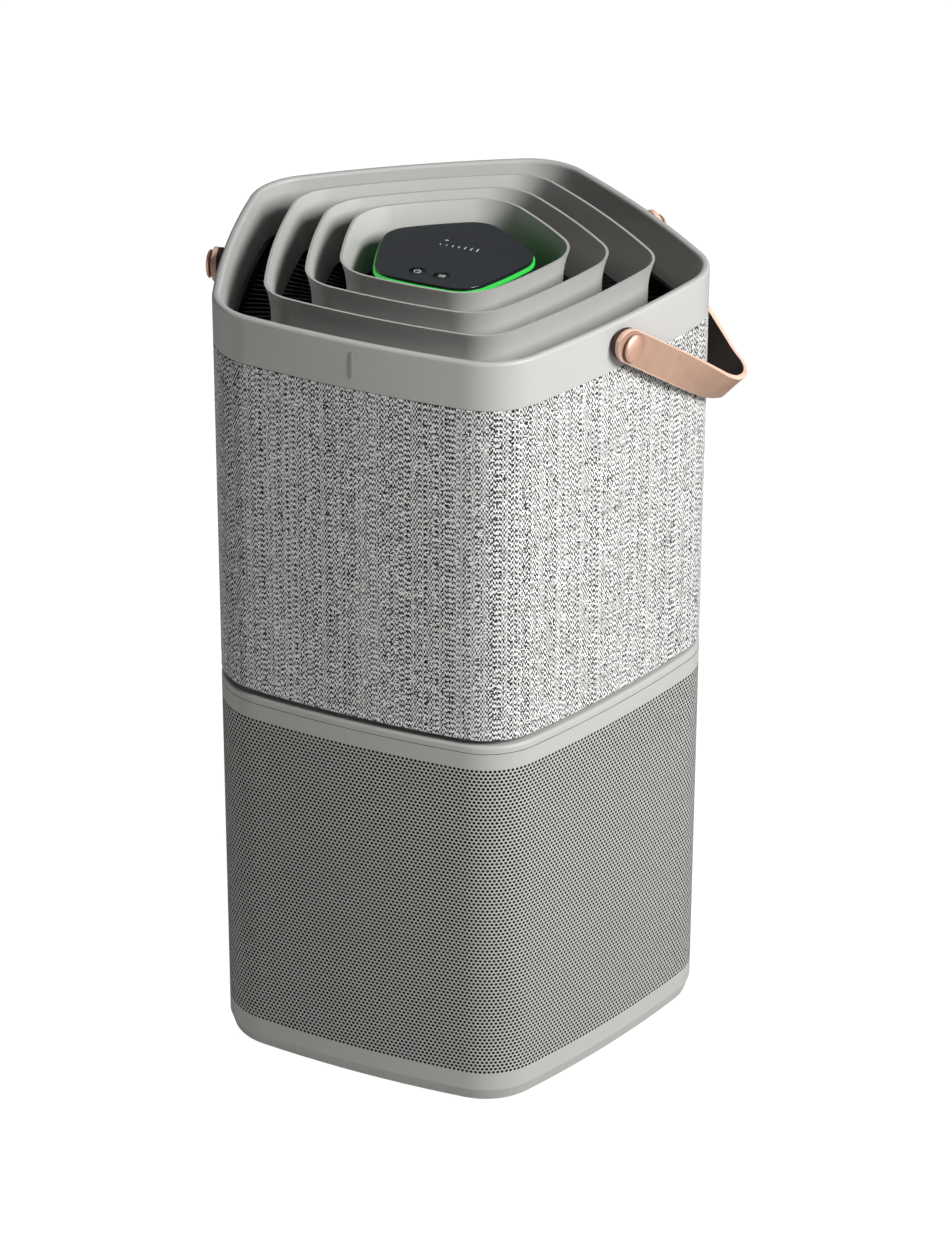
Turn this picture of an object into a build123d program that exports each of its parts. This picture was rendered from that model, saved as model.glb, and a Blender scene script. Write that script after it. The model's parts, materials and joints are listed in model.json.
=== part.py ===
from build123d import *
from math import cos, sin, tan, sqrt, radians, degrees, atan2, copysign, pi
import os

# Floor-standing air purifier: a five-sided tower with rounded corners.
# Millimetres. +Z up, the floor at z = 0, the side with the badge faces -Y.

# ---- body outline -----------------------------------------------------------
APOTHEM = 157.5            # centre to the middle of a flat side
CORNER_R = 48.0            # corner rounding of the body
BULGE_R = 840.0            # each flat side is a very shallow arc of this radius
SIDES = 5
SIDE_STEP = 360.0 / SIDES
HALF_STEP = SIDE_STEP / 2
FRONT_ANGLE = -90.0        # outward direction of the front side
MIN_CORNER = 4.0           # smallest corner an inset outline keeps

# ---- heights ------------------------------------------------------------------
BASE_Z = 4.0               # underside of the base ring
BASE_TOP = 13.6            # top of the base ring
SEAM = 0.4                 # open line between neighbouring casings
LOWER_TOP = 292.0          # top of the perforated lower shell
WAIST_LEDGE = 298.0        # top of the waist ledge, where the shadow groove starts
FABRIC_Z = 302.4           # lower edge of the fabric
FABRIC_TOP = 555.0         # upper edge of the fabric
RIM_TOP = 590.0            # top of the rim

# ---- walls and fits -------------------------------------------------------------
WALL = 2.4                 # moulded casing wall
THIN = 1.6                 # light inner wall
FIT = 0.3                  # clearance between parts that never rub
MOVE_GAP = 0.5             # clearance round a part that moves
RUN_FIT = 0.04             # radial play of the shaft in its bearings

# ---- base -----------------------------------------------------------------------
BASE_TAPER = 3.0           # the base ring draws in by this much at the floor
LEDGE_IN = 14.0            # width of the ledge the base plate sits on
LEDGE_H = 2.0
PLATE_H = 4.0
FOOT_R = 11.0
CENTRE_FOOT_R = 24.0       # a middle pad stops the base plate sagging
FOOT_AT = 132.0            # distance of each foot from the centre

# ---- chassis --------------------------------------------------------------------
POST_R = 6.5
FRONT_POST_AT = 150.0      # front posts, measured from the centre along the corners
SIDE_POST_X = 148.5        # side posts stand beside the door opening
SIDE_POST_Y = 70.0
DECK_Z = 276.0             # underside of the fan deck
DECK_H = 6.0
DECK_HOLE_R = 88.0

# ---- rear door ------------------------------------------------------------------
DOOR_HALF = 138.0          # half width of the door opening
GRIP_W = 60.0
GRIP_D = 14.0              # depth of the finger recess
GRIP_H = 18.0
GRIP_TOP = 268.0
MAGNET_R = 3.8
MAGNET_H = 3.5
MAGNET_IN = 8.0            # magnets sit this far inside the door edge
MAGNET_Y = 82.5
MAGNET_RIB_W = 8.0
MAGNET_RIB_Y = 96.5
STRIKE_T = 2.5
STRIKE_W = 18.0
BRACKET_IN = 3.5
STRIKE_H = 14.0
MAGNET_Z_LOW = 60.0
MAGNET_Z_HIGH = 240.0

# ---- power inlet, low on the left side near the back ----------------------------------
INLET_W = 27.0
INLET_H = 20.0
INLET_Z = 46.0
INLET_ALONG_SIDE = -62.0   # from the middle of side 4 towards the back corner
INLET_SIDE = 4

# ---- filter cartridge -------------------------------------------------------------
FILTER_R = 112.0
FILTER_BORE_R = 62.0
FILTER_CAP_H = 6.0
FILTER_GAP = 0.8           # the cartridge sits in its seat with this much play
SEAT_LIP_H = 8.0
PLEATS = 72
PLEAT_DEEP = 31.0
PLEAT_T = 7.0              # shift between the two faces of the folded sheet
MEDIA_R = 107.0
CARBON_T = 5.0
MESH_T = 1.4
GASKET_IN = 64.0
GASKET_W = 18.0
GASKET_H = 7.7
PULL_W = 20.0
PULL_DROP = 32.0
PULL_T = 1.2

# ---- fan --------------------------------------------------------------------------
DUCT_R = 122.0             # bore of the round fan duct
DUCT_TOP = 438.0
DUCT_FLANGE = 11.0
BELL_R = 70.0              # throat of the inlet bell
BELL_LIP_R = 92.0
BELL_TOP = 304.0
BELL_T = 2.0
IMPELLER_R = 102.0
EYE_R = 74.0
EYE_LIP = 18.0
BLADES = 11
BLADE_T = 2.0
BLADE_IN_R = 58.0
BLADE_SWEEP = 34.0         # the blades lean back by this angle over their length
IMPELLER_Z = 302.0
IMPELLER_TOP = 362.0
BACK_T = 2.5
SHAFT_R = 4.0
HUB_R = 12.0
CAN_R = 44.0
CAN_H = 32.0
CAN_WALL = 2.4
STATOR_R = 39.0
STATOR_Z = 367.0
STATOR_TOP = 391.0
TUBE_R = 13.0
FLANGE_R = 24.0
FLANGE_H = 4.0
MOTOR_SCREWS = 4
MOTOR_SCREW_AT = 17.0
GROMMET_R = 4.6
GROMMET_H = 2.0
BEARING_R = 9.5
BEARING_H = 6.0
BEARING_LOW = 370.0
BEARING_HIGH = 389.0
BOWL_R = 88.0
BOWL_Z = 366.5
MOUNT_Z = 402.0            # underside of the plate the motor hangs from
MOUNT_T = 3.0
VANES = 13
VANE_T = 2.0
VANE_Z = 380.0
VANE_RING = 2.4

# ---- outlet -----------------------------------------------------------------------
GRILLE_Z = 541.0
GRILLE_H = 3.0
GRILLE_RIBS = 120
GRILLE_HUB_R = 40.0
GRILLE_HUB_W = 4.0
RIB_T = 1.4
SEAT_EDGE = 5.0            # width of the rings that stack under the rim
SPIDER_Z = 547.0
SPIDER_W = 4.0
RIM_Z = 555.4
RIM_BOTTOM = 553.0         # lower edge of the inner skin
RIM_WALL = 3.2
RIM_LIP = 5.6              # width of the rounded top edge
RIM_SKIN = 2.2             # inner skin of the rim
RIM_FLARE = 4.0            # the inner skin draws in by this much going down
RIM_FLARE_H = 30.0
RIM_EDGE_R = 2.4

# louvre rings: (apothem, corner radius, top height)
RING_OUTER = (123.5, 33.0, 592.6)
RING_MIDDLE = (97.0, 37.0, 594.8)
RING_INNER = (74.2, 36.0, 597.1)
RING_T = 1.8
RING_FLARE = 4.2           # the top edge leans out by this much
RING_FLARE_H = 24.0
# how far down the flare each section sits, and how much of the lean it has by then
RING_LEANS = ((0, 0), (0.3, 0.5), (0.62, 0.86), (1, 1))

# ---- control pod --------------------------------------------------------------------
GLASS_APOTHEM = 51.2
GLASS_CORNER = 22.0
GLASS_T = 2.4
GLASS_TOP = 589.4
LIGHT_OVER = 1.0           # the light ring shows outside the glass by this much
LIGHT_T = 2.9
POD_WALL = 2.0
POD_APOTHEM = 47.0
POD_CORNER = 22.0
POD_STEP = 3.0
BUTTON_R = 5.75
BUTTON_CAP = 7.4
BUTTON_FLANGE_R = 7.2
BUTTON_FLANGE_H = 1.2
BUTTON_STEM_R = 2.5
BUTTON_STEM = 4.4
BUTTON_DISH_R = 22.0
BUTTON_DISH = 0.7
BUTTON_TRAVEL = 0.7
BUTTON_PROUD = 0.2
BUTTON_X = 9.2             # each button stands this far from the middle
BUTTON_Y = -35.0
BUTTON_PLAY = 0.35
BOARD_T = 1.6
BOARD_Z = 571.0
DOME_R = 3.2
LED_COUNT = 15
LED_AT = 29.5
LED_S = 3.0
LED_H = 1.4

# ---- electronics ----------------------------------------------------------------------
CARRIER_Y = 149.0
CARRIER_T = 3.0
CARRIER_W = 60.0
CARRIER_H = 140.0
MAIN_W = 54.0
MAIN_H = 110.0
SUPPLY_AT = 145.0
SUPPLY_D = 20.0
SUPPLY_W = 52.0
SUPPLY_H = 96.0
SENSOR_ANGLE = -104.0
SENSOR_AT = 130.0
SENSOR_D = 20.0
SENSOR_W = 42.0
SENSOR_H = 30.0
CABLE_R = 2.4
CABLE_BEND = 12.0
CABLE_AT = 141.0
CABLE_Z = 536.0
CABLE_IN = 12.0

# ---- handles ------------------------------------------------------------------------
RIVET_Z = 572.5            # both rivets of a strap are at this height
STRAP_W = 24.0
STRAP_T = 3.6
STRAP_OUT = 6.8            # middle of the leather, measured out from the body side
STRAP_SLOPE = 34.0         # how steeply the strap falls away from each rivet
STRAP_BEND_R = 22.0        # bend round the corner, in plan
STRAP_LEAN = 42.0          # the top edge leans out by this angle at the bend
TAB_CUT = 19.0             # the flexing tab ends this far from the rivet
TAB_GAP = 0.8
TAB_PAD = 3.0              # dark pad under each tab end
TAB_HOLE = 0.7             # play of the tab on its rivet
RIVET_R = 10.2
RIVET_H = 3.0
RIVET_ROUND = 1.8
RIVET_BASE_R = 6.6
RIVET_BASE_H = 1.3
RIVET_LIFT = 0.9           # play between the leather and the rivet head
RIVET_SHANK_R = 3.0
COLLAR_R = 5.0
COLLAR_H = 1.0
NUT_R = 6.0
NUT_H = 1.4
NUT_GAP = 0.1              # the nut pulls up against the curved wall this far in
STRAP_EASE = 15.0          # the fall starts to level out this far before the bend
STRAP_LEAN_FROM = 30.0     # and the lean starts this far from the rivet
STRAP_START = 15.0
STRAP_STATIONS = 8

# ---- small parts ----------------------------------------------------------------------
SCREW_R = 1.6
SCREW_HEAD_R = 3.2
SCREW_HEAD_H = 2.2
SCREW_L = 9.0
DUCT_SCREWS = 6
BADGE_W = 11.0
BADGE_BAR = 1.7
BADGE_PITCH = 4.2
BADGE_T = 0.6
BADGE_Z = 573.0

os.makedirs("parts", exist_ok=True)


# ---- helpers --------------------------------------------------------------------------
def side_dir(i):
    """Outward unit direction of side i."""
    a = radians(FRONT_ANGLE + SIDE_STEP * i)
    return Vector(cos(a), sin(a), 0)


def corner_dir(i):
    """Unit direction of the corner after side i."""
    a = radians(FRONT_ANGLE + HALF_STEP + SIDE_STEP * i)
    return Vector(cos(a), sin(a), 0)


def along_dir(i):
    """Unit direction along side i, counter-clockwise."""
    n = side_dir(i)
    return Vector(-n.Y, n.X, 0)


def corner_centre(apothem, corner, bulge):
    """Distance from the centre to the centre of a corner arc."""
    back = bulge - apothem
    c = cos(radians(HALF_STEP))
    return -back * c + sqrt((back * c) ** 2 + (bulge - corner) ** 2 - back ** 2)


def rounded_pentagon(apothem, corner, bulge, mode=Mode.ADD):
    """A pentagon face with bowed sides and round corners, in the open sketch."""
    d = corner_centre(apothem, corner, bulge)
    with BuildLine() as line:
        for i in range(SIDES):
            n = side_dir(i)
            c = n * (apothem - bulge)
            before = corner_dir(i - 1) * d
            after = corner_dir(i) * d
            start = c + (before - c).normalized() * bulge
            end = c + (after - c).normalized() * bulge
            nxt = side_dir(i + 1)
            c2 = nxt * (apothem - bulge)
            onward = c2 + (after - c2).normalized() * bulge
            ThreePointArc(start, n * apothem, end)
            ThreePointArc(end, corner_dir(i) * (d + corner), onward)
    make_face(line.edges(), mode=mode)


def outline(inset, mode=Mode.ADD):
    """The body outline moved inwards by inset."""
    corner = max(CORNER_R - inset, MIN_CORNER)
    rounded_pentagon(APOTHEM - inset, corner, BULGE_R - inset, mode)


def scaled_outline(apothem, corner, mode=Mode.ADD):
    """A smaller outline of the same family."""
    rounded_pentagon(apothem, corner, BULGE_R * apothem / APOTHEM, mode)


def wall(inset, thickness, z0, z1, mode=Mode.ADD):
    """A closed wall that follows the body outline."""
    with BuildSketch(Plane.XY.offset(z0)) as section:
        outline(inset)
        outline(inset + thickness, Mode.SUBTRACT)
    extrude(section.sketch, amount=z1 - z0, mode=mode)


def slab(inset, z0, z1, mode=Mode.ADD):
    """A solid plate in the body outline."""
    with BuildSketch(Plane.XY.offset(z0)) as section:
        outline(inset)
    extrude(section.sketch, amount=z1 - z0, mode=mode)


def tube(r_out, r_in, z0, z1, mode=Mode.ADD):
    """A round tube about the tower axis."""
    with BuildSketch(Plane.XY.offset(z0)) as section:
        Circle(r_out)
        Circle(r_in, mode=Mode.SUBTRACT)
    extrude(section.sketch, amount=z1 - z0, mode=mode)


def disc(r, z0, z1, x=0.0, y=0.0, mode=Mode.ADD):
    """A round post or plate."""
    with BuildSketch(Plane.XY.offset(z0)) as section:
        with Locations((x, y)):
            Circle(r)
    extrude(section.sketch, amount=z1 - z0, mode=mode)


def screw(plane):
    """One pan-head screw: the head on the plane, the shank behind it."""
    with BuildSketch(plane) as head:
        Circle(SCREW_HEAD_R)
    extrude(head.sketch, amount=SCREW_HEAD_H)
    with BuildSketch(plane) as shank:
        Circle(SCREW_R)
    extrude(shank.sketch, amount=-SCREW_L)


def block(x0, x1, y0, y1, z0, z1, mode=Mode.ADD):
    """A box given by its limits."""
    with BuildSketch(Plane.XY.offset(z0)) as section:
        with Locations(((x0 + x1) / 2, (y0 + y1) / 2)):
            Rectangle(x1 - x0, y1 - y0)
    extrude(section.sketch, amount=z1 - z0, mode=mode)


def save(builder, label):
    builder.part.label = label
    export_step(builder.part, "parts/" + label + ".step")


POST_SPOTS = []
for k in (0, 4):
    POST_SPOTS.append(corner_dir(k) * FRONT_POST_AT)
POST_SPOTS.append(Vector(SIDE_POST_X, SIDE_POST_Y, 0))
POST_SPOTS.append(Vector(-SIDE_POST_X, SIDE_POST_Y, 0))

# the local surface at the inlet: the side is a shallow arc
INLET_TURN = INLET_ALONG_SIDE / BULGE_R
INLET_OUT = side_dir(INLET_SIDE).rotate(Axis.Z, degrees(INLET_TURN))
INLET_AT = side_dir(INLET_SIDE) * (APOTHEM - BULGE_R) + INLET_OUT * BULGE_R + Vector(0, 0, INLET_Z)
INLET_PLANE = Plane(origin=INLET_AT, x_dir=(-INLET_OUT.Y, INLET_OUT.X, 0), z_dir=INLET_OUT)

# ---- base -------------------------------------------------------------------------------
PLATE_Z = BASE_Z + LEDGE_H
PLATE_TOP = PLATE_Z + PLATE_H
with BuildPart() as base_ring:
    with BuildSketch(Plane.XY.offset(BASE_Z)):
        outline(BASE_TAPER)
    with BuildSketch(Plane.XY.offset(BASE_TOP)):
        outline(0)
    loft()
    slab(BASE_TAPER + WALL, PLATE_Z, BASE_TOP, Mode.SUBTRACT)
    slab(BASE_TAPER + WALL + LEDGE_IN, BASE_Z, BASE_TOP, Mode.SUBTRACT)
    for spot in POST_SPOTS:
        disc(SCREW_HEAD_R + FIT, BASE_Z, PLATE_Z, spot.X, spot.Y, Mode.SUBTRACT)
save(base_ring, "base_ring")

with BuildPart() as base_plate:
    slab(BASE_TAPER + WALL + FIT, PLATE_Z, PLATE_TOP)
    for spot in POST_SPOTS:
        disc(SCREW_R, PLATE_Z, PLATE_TOP, spot.X, spot.Y, Mode.SUBTRACT)
save(base_plate, "base_plate")

with BuildPart() as feet:
    disc(CENTRE_FOOT_R, 0, PLATE_Z)
    for k in range(SIDES):
        spot = corner_dir(k) * FOOT_AT
        disc(FOOT_R, 0, PLATE_Z, spot.X, spot.Y)
save(feet, "feet")

# ---- chassis: bottom frame with the filter seat, four posts and the fan deck --------------
FLANGE_OUT = DUCT_R + WALL + DUCT_FLANGE
DUCT_SCREW_AT = FLANGE_OUT - SCREW_HEAD_R - 1
FRAME_IN = WALL + 1.2
FRAME_H = 4.0
FRAME_TOP = PLATE_TOP + FRAME_H
SEAT_IN = FILTER_R + FILTER_GAP
DECK_TOP = DECK_Z + DECK_H
with BuildPart() as chassis:
    slab(FRAME_IN + BASE_TAPER, PLATE_TOP, FRAME_TOP)
    tube(SEAT_IN + WALL, SEAT_IN, FRAME_TOP, FRAME_TOP + SEAT_LIP_H)
    # the lip is open towards the door so that the cartridge can slide out
    block(-DOOR_HALF, DOOR_HALF, 0, APOTHEM * 2, FRAME_TOP, DECK_Z, Mode.SUBTRACT)
    for spot in POST_SPOTS:
        disc(POST_R, FRAME_TOP, DECK_Z, spot.X, spot.Y)
        disc(SCREW_R, PLATE_TOP, PLATE_Z + SCREW_L, spot.X, spot.Y, Mode.SUBTRACT)
    with BuildSketch(Plane.XY.offset(DECK_Z)) as deck:
        outline(FRAME_IN)
        Circle(DECK_HOLE_R, mode=Mode.SUBTRACT)
    extrude(deck.sketch, amount=DECK_H)
    # brackets for the magnet strikes
    for sign in (-1, 1):
        for height in (MAGNET_Z_LOW, MAGNET_Z_HIGH):
            x = sign * SIDE_POST_X
            near = x - sign * POST_R * 1.5
            far = x - sign * BRACKET_IN
            block(min(near, far), max(near, far), SIDE_POST_Y, MAGNET_Y - SEAM - STRIKE_T,
                  height - STRIKE_H / 2, height + STRIKE_H / 2)
    with BuildSketch(Plane.XY.offset(DECK_Z)) as deck_holes:
        with PolarLocations(DUCT_SCREW_AT, DUCT_SCREWS):
            Circle(SCREW_R)
    extrude(deck_holes.sketch, amount=DECK_H, mode=Mode.SUBTRACT)
save(chassis, "chassis")

# ---- lower casing -------------------------------------------------------------------------
with BuildPart() as lower_shell:
    wall(0, WALL, BASE_TOP, LOWER_TOP)
    block(-DOOR_HALF, DOOR_HALF, 0, APOTHEM * 2, BASE_TOP, LOWER_TOP, Mode.SUBTRACT)
    with BuildSketch(INLET_PLANE) as inlet_hole:
        Rectangle(INLET_W, INLET_H)
    extrude(inlet_hole.sketch, amount=WALL * 3, both=True, mode=Mode.SUBTRACT)
save(lower_shell, "lower_shell")

DOOR_IN = DOOR_HALF - SEAM
DOOR_FAR = APOTHEM * 2
DOOR_Z = BASE_TOP + SEAM
MAGNET_X = DOOR_IN - MAGNET_IN
MAGNET_SPOTS = []
for sign in (-1, 1):
    for height in (MAGNET_Z_LOW, MAGNET_Z_HIGH):
        MAGNET_SPOTS.append((sign * MAGNET_X, height))
with BuildPart() as rear_door:
    wall(0, WALL, DOOR_Z, LOWER_TOP)
    block(-DOOR_IN, DOOR_IN, 0, DOOR_FAR, DOOR_Z, LOWER_TOP, Mode.INTERSECT)
    # the finger recess opens in the back corner
    block(-GRIP_W / 2, GRIP_W / 2, 0, DOOR_FAR, GRIP_TOP - GRIP_H, GRIP_TOP, Mode.SUBTRACT)
    # short ribs carry the magnets
    for x, height in MAGNET_SPOTS:
        block(x - MAGNET_RIB_W / 2, x + MAGNET_RIB_W / 2, MAGNET_Y + MAGNET_H, MAGNET_RIB_Y,
              height - MAGNET_RIB_W / 2, height + MAGNET_RIB_W / 2)
save(rear_door, "rear_door")

with BuildPart() as door_grip:
    wall(WALL, GRIP_D, GRIP_TOP - GRIP_H - WALL, GRIP_TOP + WALL)
    block(-GRIP_W / 2 - WALL, GRIP_W / 2 + WALL, 0, DOOR_FAR, 0, LOWER_TOP, Mode.INTERSECT)
    with BuildSketch(Plane.XY.offset(GRIP_TOP - GRIP_H)) as mouth:
        outline(0)
        outline(GRIP_D, Mode.SUBTRACT)
        with Locations((0, APOTHEM)):
            Rectangle(GRIP_W, APOTHEM, mode=Mode.INTERSECT)
    extrude(mouth.sketch, amount=GRIP_H, mode=Mode.SUBTRACT)
save(door_grip, "door_grip")

with BuildPart() as door_magnets:
    for x, height in MAGNET_SPOTS:
        with BuildSketch(Plane(origin=(x, MAGNET_Y, height), z_dir=(0, 1, 0))) as magnet:
            Circle(MAGNET_R)
        extrude(magnet.sketch, amount=MAGNET_H)
save(door_magnets, "door_magnets")

STRIKE_Y = MAGNET_Y - SEAM
with BuildPart() as door_strikes:
    for x, height in MAGNET_SPOTS:
        edge = x - copysign(MAGNET_R + 1, x)
        far = edge + copysign(STRIKE_W, x)
        block(min(edge, far), max(edge, far), STRIKE_Y - STRIKE_T, STRIKE_Y,
              height - STRIKE_H / 2, height + STRIKE_H / 2)
save(door_strikes, "door_strikes")

# ---- filter cartridge -----------------------------------------------------------------------
CAP_Z = FRAME_TOP
MEDIA_Z = CAP_Z + FILTER_CAP_H
MEDIA_TOP = DECK_Z - FIT - GASKET_H - FILTER_CAP_H
with BuildPart() as filter_cap_bottom:
    disc(FILTER_R, CAP_Z, MEDIA_Z)
save(filter_cap_bottom, "filter_cap_bottom")

with BuildPart() as filter_cap_top:
    tube(FILTER_R, FILTER_BORE_R, MEDIA_TOP, MEDIA_TOP + FILTER_CAP_H)
save(filter_cap_top, "filter_cap_top")

with BuildPart() as filter_gasket:
    tube(GASKET_IN + GASKET_W, GASKET_IN, MEDIA_TOP + FILTER_CAP_H, DECK_Z - FIT)
save(filter_gasket, "filter_gasket")


def pleat_points(r_out, r_in):
    """Corners of one face of the folded sheet."""
    points = []
    for k in range(2 * PLEATS):
        r = r_out if k % 2 == 0 else r_in
        a = pi * k / PLEATS
        points.append((r * cos(a), r * sin(a)))
    return points


with BuildPart() as filter_media:
    with BuildSketch(Plane.XY.offset(MEDIA_Z)) as folds:
        Polygon(*pleat_points(MEDIA_R, MEDIA_R - PLEAT_DEEP), align=None)
        Polygon(*pleat_points(MEDIA_R - PLEAT_T, MEDIA_R - PLEAT_DEEP - PLEAT_T), align=None,
                mode=Mode.SUBTRACT)
    extrude(folds.sketch, amount=MEDIA_TOP - MEDIA_Z)
save(filter_media, "filter_media")

with BuildPart() as filter_carbon:
    tube(FILTER_BORE_R + CARBON_T, FILTER_BORE_R, MEDIA_Z, MEDIA_TOP)
save(filter_carbon, "filter_carbon")

with BuildPart() as filter_prefilter:
    tube(MEDIA_R + FIT + MESH_T, MEDIA_R + FIT, MEDIA_Z, MEDIA_TOP)
save(filter_prefilter, "filter_prefilter")

PULL_Z = MEDIA_TOP + FILTER_CAP_H
PULL_OUT = FILTER_R + SEAM
with BuildPart() as filter_pull_tab:
    block(-PULL_W / 2, PULL_W / 2, GASKET_IN + GASKET_W + PULL_T, PULL_OUT + PULL_T,
          PULL_Z, PULL_Z + PULL_T)
    block(-PULL_W / 2, PULL_W / 2, PULL_OUT, PULL_OUT + PULL_T, PULL_Z - PULL_DROP, PULL_Z)
save(filter_pull_tab, "filter_pull_tab")

# ---- fan ------------------------------------------------------------------------------------
with BuildPart() as inlet_bell:
    with BuildSketch(Plane.XZ) as bell_half:
        with BuildLine() as bell_line:
            Line((DECK_HOLE_R, DECK_TOP), (BELL_LIP_R, DECK_TOP))
            Line((BELL_LIP_R, DECK_TOP), (BELL_LIP_R, DECK_TOP + BELL_T))
            Line((BELL_LIP_R, DECK_TOP + BELL_T), (DECK_HOLE_R, DECK_TOP + BELL_T))
            RadiusArc((DECK_HOLE_R, DECK_TOP + BELL_T), (BELL_R + BELL_T, BELL_TOP), BELL_TOP - DECK_TOP)
            Line((BELL_R + BELL_T, BELL_TOP), (BELL_R, BELL_TOP))
            RadiusArc((BELL_R, BELL_TOP), (DECK_HOLE_R, DECK_TOP), -(BELL_TOP - DECK_TOP + BELL_T))
        make_face(bell_line.edges())
    revolve(bell_half.sketch, axis=Axis.Z)
save(inlet_bell, "inlet_bell")

BLADE_Z = IMPELLER_Z + EYE_LIP
with BuildPart() as impeller:
    tube(EYE_R + BLADE_T, EYE_R, IMPELLER_Z, BLADE_Z + BLADE_T)
    tube(IMPELLER_R, EYE_R, BLADE_Z, BLADE_Z + BLADE_T)
    tube(IMPELLER_R, SHAFT_R, IMPELLER_TOP - BACK_T, IMPELLER_TOP)
    tube(HUB_R, SHAFT_R, IMPELLER_TOP - BACK_T - HUB_R, IMPELLER_TOP)
    mid_r = (BLADE_IN_R + IMPELLER_R) / 2
    for k in range(BLADES):
        a = 2 * pi * k / BLADES
        lag = radians(BLADE_SWEEP)
        tip_r = IMPELLER_R - FIT
        root = (BLADE_IN_R * cos(a), BLADE_IN_R * sin(a))
        mid = (mid_r * cos(a - lag * 0.62), mid_r * sin(a - lag * 0.62))
        tip = (tip_r * cos(a - lag), tip_r * sin(a - lag))
        with BuildSketch(Plane.XY.offset(BLADE_Z)) as blade:
            with BuildLine() as camber:
                ThreePointArc(root, mid, tip)
            trace(camber.line, BLADE_T)
            Circle(IMPELLER_R, mode=Mode.INTERSECT)
        extrude(blade.sketch, amount=IMPELLER_TOP - BLADE_Z - BACK_T)
save(impeller, "impeller")

with BuildPart() as motor_can:
    tube(CAN_R, HUB_R, IMPELLER_TOP, IMPELLER_TOP + CAN_WALL)
    tube(CAN_R, CAN_R - CAN_WALL, IMPELLER_TOP, IMPELLER_TOP + CAN_H)
save(motor_can, "motor_can")

with BuildPart() as motor_shaft:
    disc(SHAFT_R, IMPELLER_TOP - BACK_T - HUB_R, MOUNT_Z - SEAM)
save(motor_shaft, "motor_shaft")

with BuildPart() as motor_stator:
    tube(STATOR_R, BEARING_R, STATOR_Z, STATOR_TOP)
    tube(TUBE_R, BEARING_R, STATOR_Z, MOUNT_Z)
    tube(FLANGE_R, BEARING_R, MOUNT_Z - FLANGE_H, MOUNT_Z)
    with BuildSketch(Plane.XY.offset(STATOR_TOP)) as stator_holes:
        with PolarLocations(MOTOR_SCREW_AT, MOTOR_SCREWS):
            Circle(SCREW_R)
    extrude(stator_holes.sketch, amount=MOUNT_Z - STATOR_TOP, mode=Mode.SUBTRACT)
save(motor_stator, "motor_stator")

with BuildPart() as motor_bearings:
    for height in (BEARING_LOW, BEARING_HIGH):
        tube(BEARING_R, SHAFT_R + RUN_FIT, height, height + BEARING_H)
save(motor_bearings, "motor_bearings")

VANE_R = DUCT_R - VANE_RING
with BuildPart() as diffuser:
    tube(BOWL_R, BOWL_R - WALL, BOWL_Z, DUCT_TOP)
    disc(BOWL_R, MOUNT_Z, MOUNT_Z + MOUNT_T)
    tube(DUCT_R, VANE_R, VANE_Z, DUCT_TOP)
    with BuildSketch(Plane.XY.offset(VANE_Z)) as vane:
        with PolarLocations((BOWL_R + VANE_R) / 2, VANES):
            Rectangle(VANE_R - BOWL_R + VANE_T, VANE_T)
    extrude(vane.sketch, amount=DUCT_TOP - VANE_Z)
    with BuildSketch(Plane.XY.offset(MOUNT_Z)) as mount_holes:
        with PolarLocations(MOTOR_SCREW_AT, MOTOR_SCREWS):
            Circle(SCREW_R)
    extrude(mount_holes.sketch, amount=MOUNT_T, mode=Mode.SUBTRACT)
save(diffuser, "diffuser")

MOUNT_TOP = MOUNT_Z + MOUNT_T
with BuildPart() as motor_grommets:
    with BuildSketch(Plane.XY.offset(MOUNT_TOP)) as rubber:
        with PolarLocations(MOTOR_SCREW_AT, MOTOR_SCREWS):
            Circle(GROMMET_R)
            Circle(SCREW_R, mode=Mode.SUBTRACT)
    extrude(rubber.sketch, amount=GROMMET_H)
save(motor_grommets, "motor_grommets")

with BuildPart() as fan_duct:
    tube(DUCT_R + WALL, DUCT_R, DECK_TOP, DUCT_TOP)
    tube(FLANGE_OUT, DUCT_R, DECK_TOP, DECK_TOP + WALL)
    with BuildSketch(Plane.XY.offset(DECK_TOP)) as duct_holes:
        with PolarLocations(DUCT_SCREW_AT, DUCT_SCREWS):
            Circle(SCREW_R)
    extrude(duct_holes.sketch, amount=WALL, mode=Mode.SUBTRACT)
save(fan_duct, "fan_duct")

# identical screws: chassis to base, duct to deck, motor to its mount
with BuildPart() as screws:
    for spot in POST_SPOTS:
        screw(Plane(origin=(spot.X, spot.Y, PLATE_Z), z_dir=(0, 0, -1)))
    for k in range(DUCT_SCREWS):
        a = 2 * pi * k / DUCT_SCREWS
        screw(Plane(origin=(DUCT_SCREW_AT * cos(a), DUCT_SCREW_AT * sin(a), DECK_TOP + WALL)))
    for k in range(MOTOR_SCREWS):
        a = 2 * pi * k / MOTOR_SCREWS
        screw(Plane(origin=(MOTOR_SCREW_AT * cos(a), MOTOR_SCREW_AT * sin(a), MOUNT_TOP + GROMMET_H)))
save(screws, "screws")

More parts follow.
